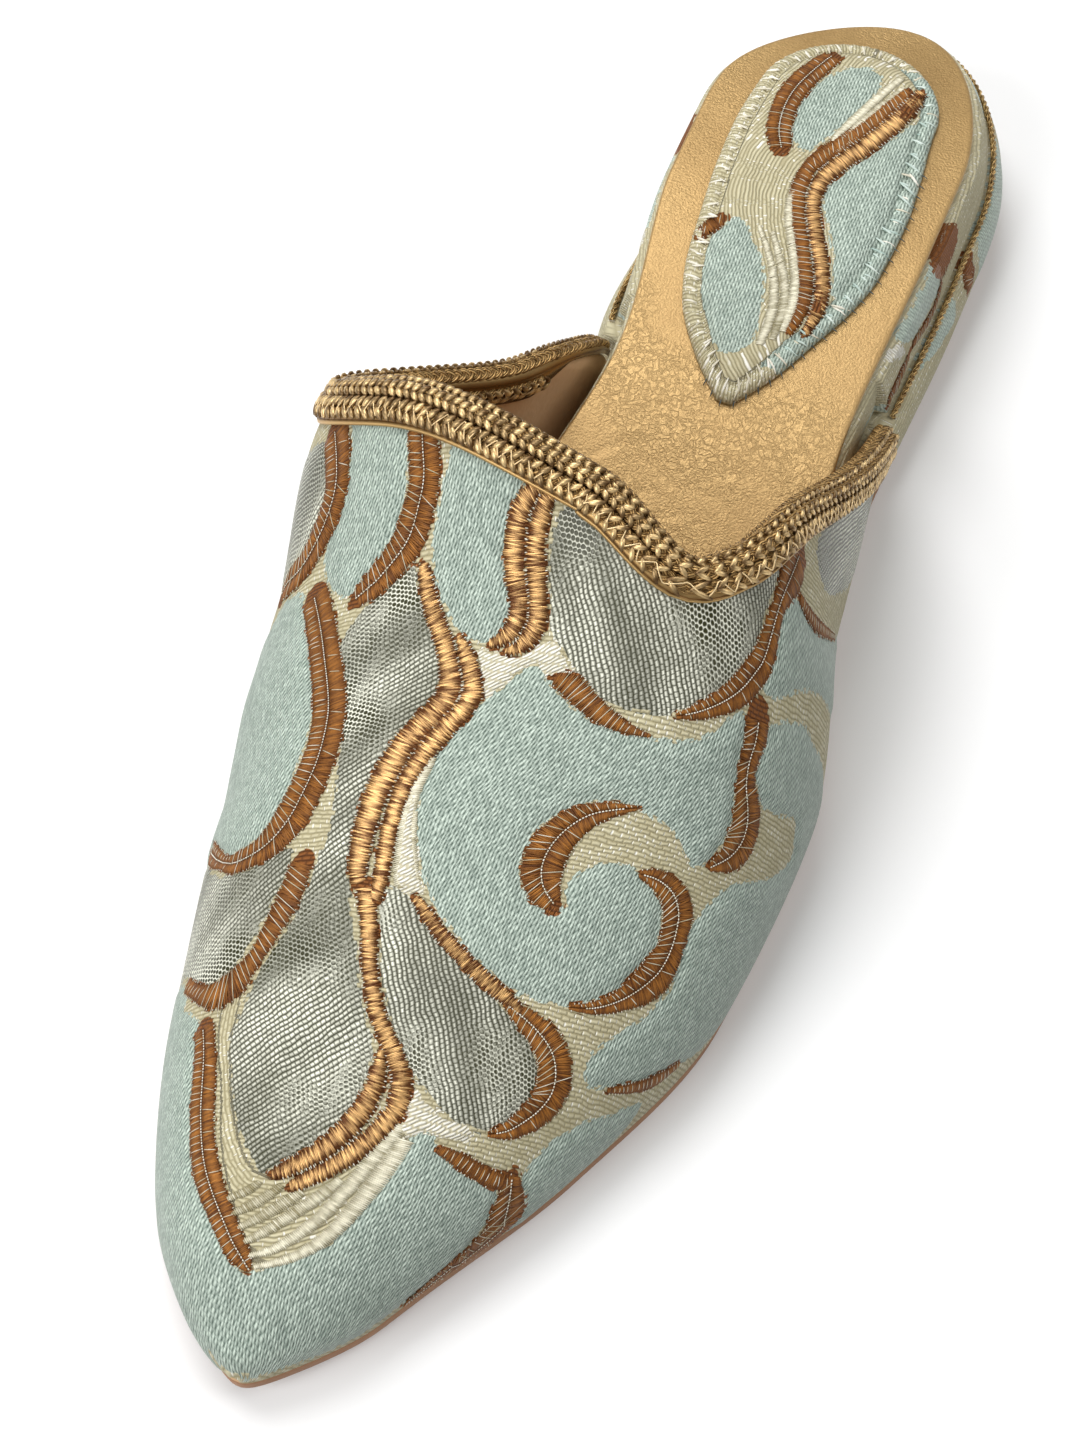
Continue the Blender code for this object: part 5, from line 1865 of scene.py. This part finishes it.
makeFold()
makePlaits()
makeCrossings()
growStitches("braidChains", chainStitches(), giltChain, 6, 6, 0.7)
print("braid made")

# heel cord: two gilt strands twisted in the seam
cordSpec = {"inset": 1.3, "end": 74.6, "strand": 0.31, "offset": 0.28, "twist": 2.4, "perTwist": 10}


def makeCord():
    along = fineStations(60, 260, 26)
    along = np.append(along[along < cordSpec["end"] - 0.5], cordSpec["end"])
    left, right, placed = outline(along, cordSpec["inset"], lean=1.0)
    height = seamHeight(placed)
    middle = np.concatenate([np.stack([right, placed, height], 1)[::-1], np.stack([left, placed, height], 1)])
    walked = walkedLength(middle)
    even = np.arange(0, walked[-1], cordSpec["twist"] / cordSpec["perTwist"])
    middle = pointsAt(even, walked, middle)
    run = unit(np.gradient(middle, axis=0))
    out = unit(np.cross(run, (0.0, 0.0, 1.0)))
    up = np.cross(out, run)
    lines = []
    for strand in range(2):
        turn = even / cordSpec["twist"] * 2 * math.pi + strand * math.pi
        offset = np.cos(turn)[:, None] * out + np.sin(turn)[:, None] * up
        lines.append(place(middle + offset * cordSpec["offset"]))
    cord = growStrands("seamCord", lines, (0.2, 0.6), cordSpec["strand"], 6, giltCord)
    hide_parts("heel_cord")


makeCord()
print("cord made")

# studio
studio = {"floor": 3.0, "floorGlow": 0.02, "aim": (0, 0, 0.02), "world": 0.3}

# name, place, power, size
lights = (
    ("keyLight", (-0.5, 0.4, 1.15), 11.2, 0.9),
    ("frontLight", (-0.6, -1.0, 0.85), 13.6, 1.0),
    ("rightLight", (0.8, 0.35, 1.1), 4.4, 0.9),
)


def aimLight(name, spot, power, size):
    data = bpy.data.lights.new(name, "AREA")
    data.energy = power
    data.shape = "DISK"
    data.size = size
    light = bpy.data.objects.new(name, data)
    light.location = spot
    light.rotation_mode = "QUATERNION"
    light.rotation_quaternion = (Vector(studio["aim"]) - Vector(spot)).to_track_quat("-Z", "Y")
    bpy.context.scene.collection.objects.link(light)


def makeStudio():
    size = studio["floor"]
    mesh = bpy.data.meshes.new("floor")
    corners = [(-size, -size, 0), (size, -size, 0), (size, size, 0), (-size, size, 0)]
    mesh.from_pydata(corners, [], [(0, 1, 2, 3)])
    material, tree, shader = newMaterial("paleFloor")
    feed(tree, shader, {
        "Base Color": (0.94, 0.94, 0.94, 1), "Roughness": 0.9,
        "Emission Color": (1, 1, 1, 1), "Emission Strength": studio["floorGlow"]})
    mesh.materials.append(material)
    floor = bpy.data.objects.new("floor", mesh)
    bpy.context.scene.collection.objects.link(floor)
    floor.visible_diffuse = False
    for light in lights:
        aimLight(*light)
    world = bpy.data.worlds.new("studio")
    world.use_nodes = True
    glow = {"Color": (1, 1, 1, 1), "Strength": studio["world"]}
    feed(world.node_tree, world.node_tree.nodes["Background"], glow)
    bpy.context.scene.world = world
    bpy.context.scene.view_settings.view_transform = "Standard"


makeStudio()

print("scene ready")
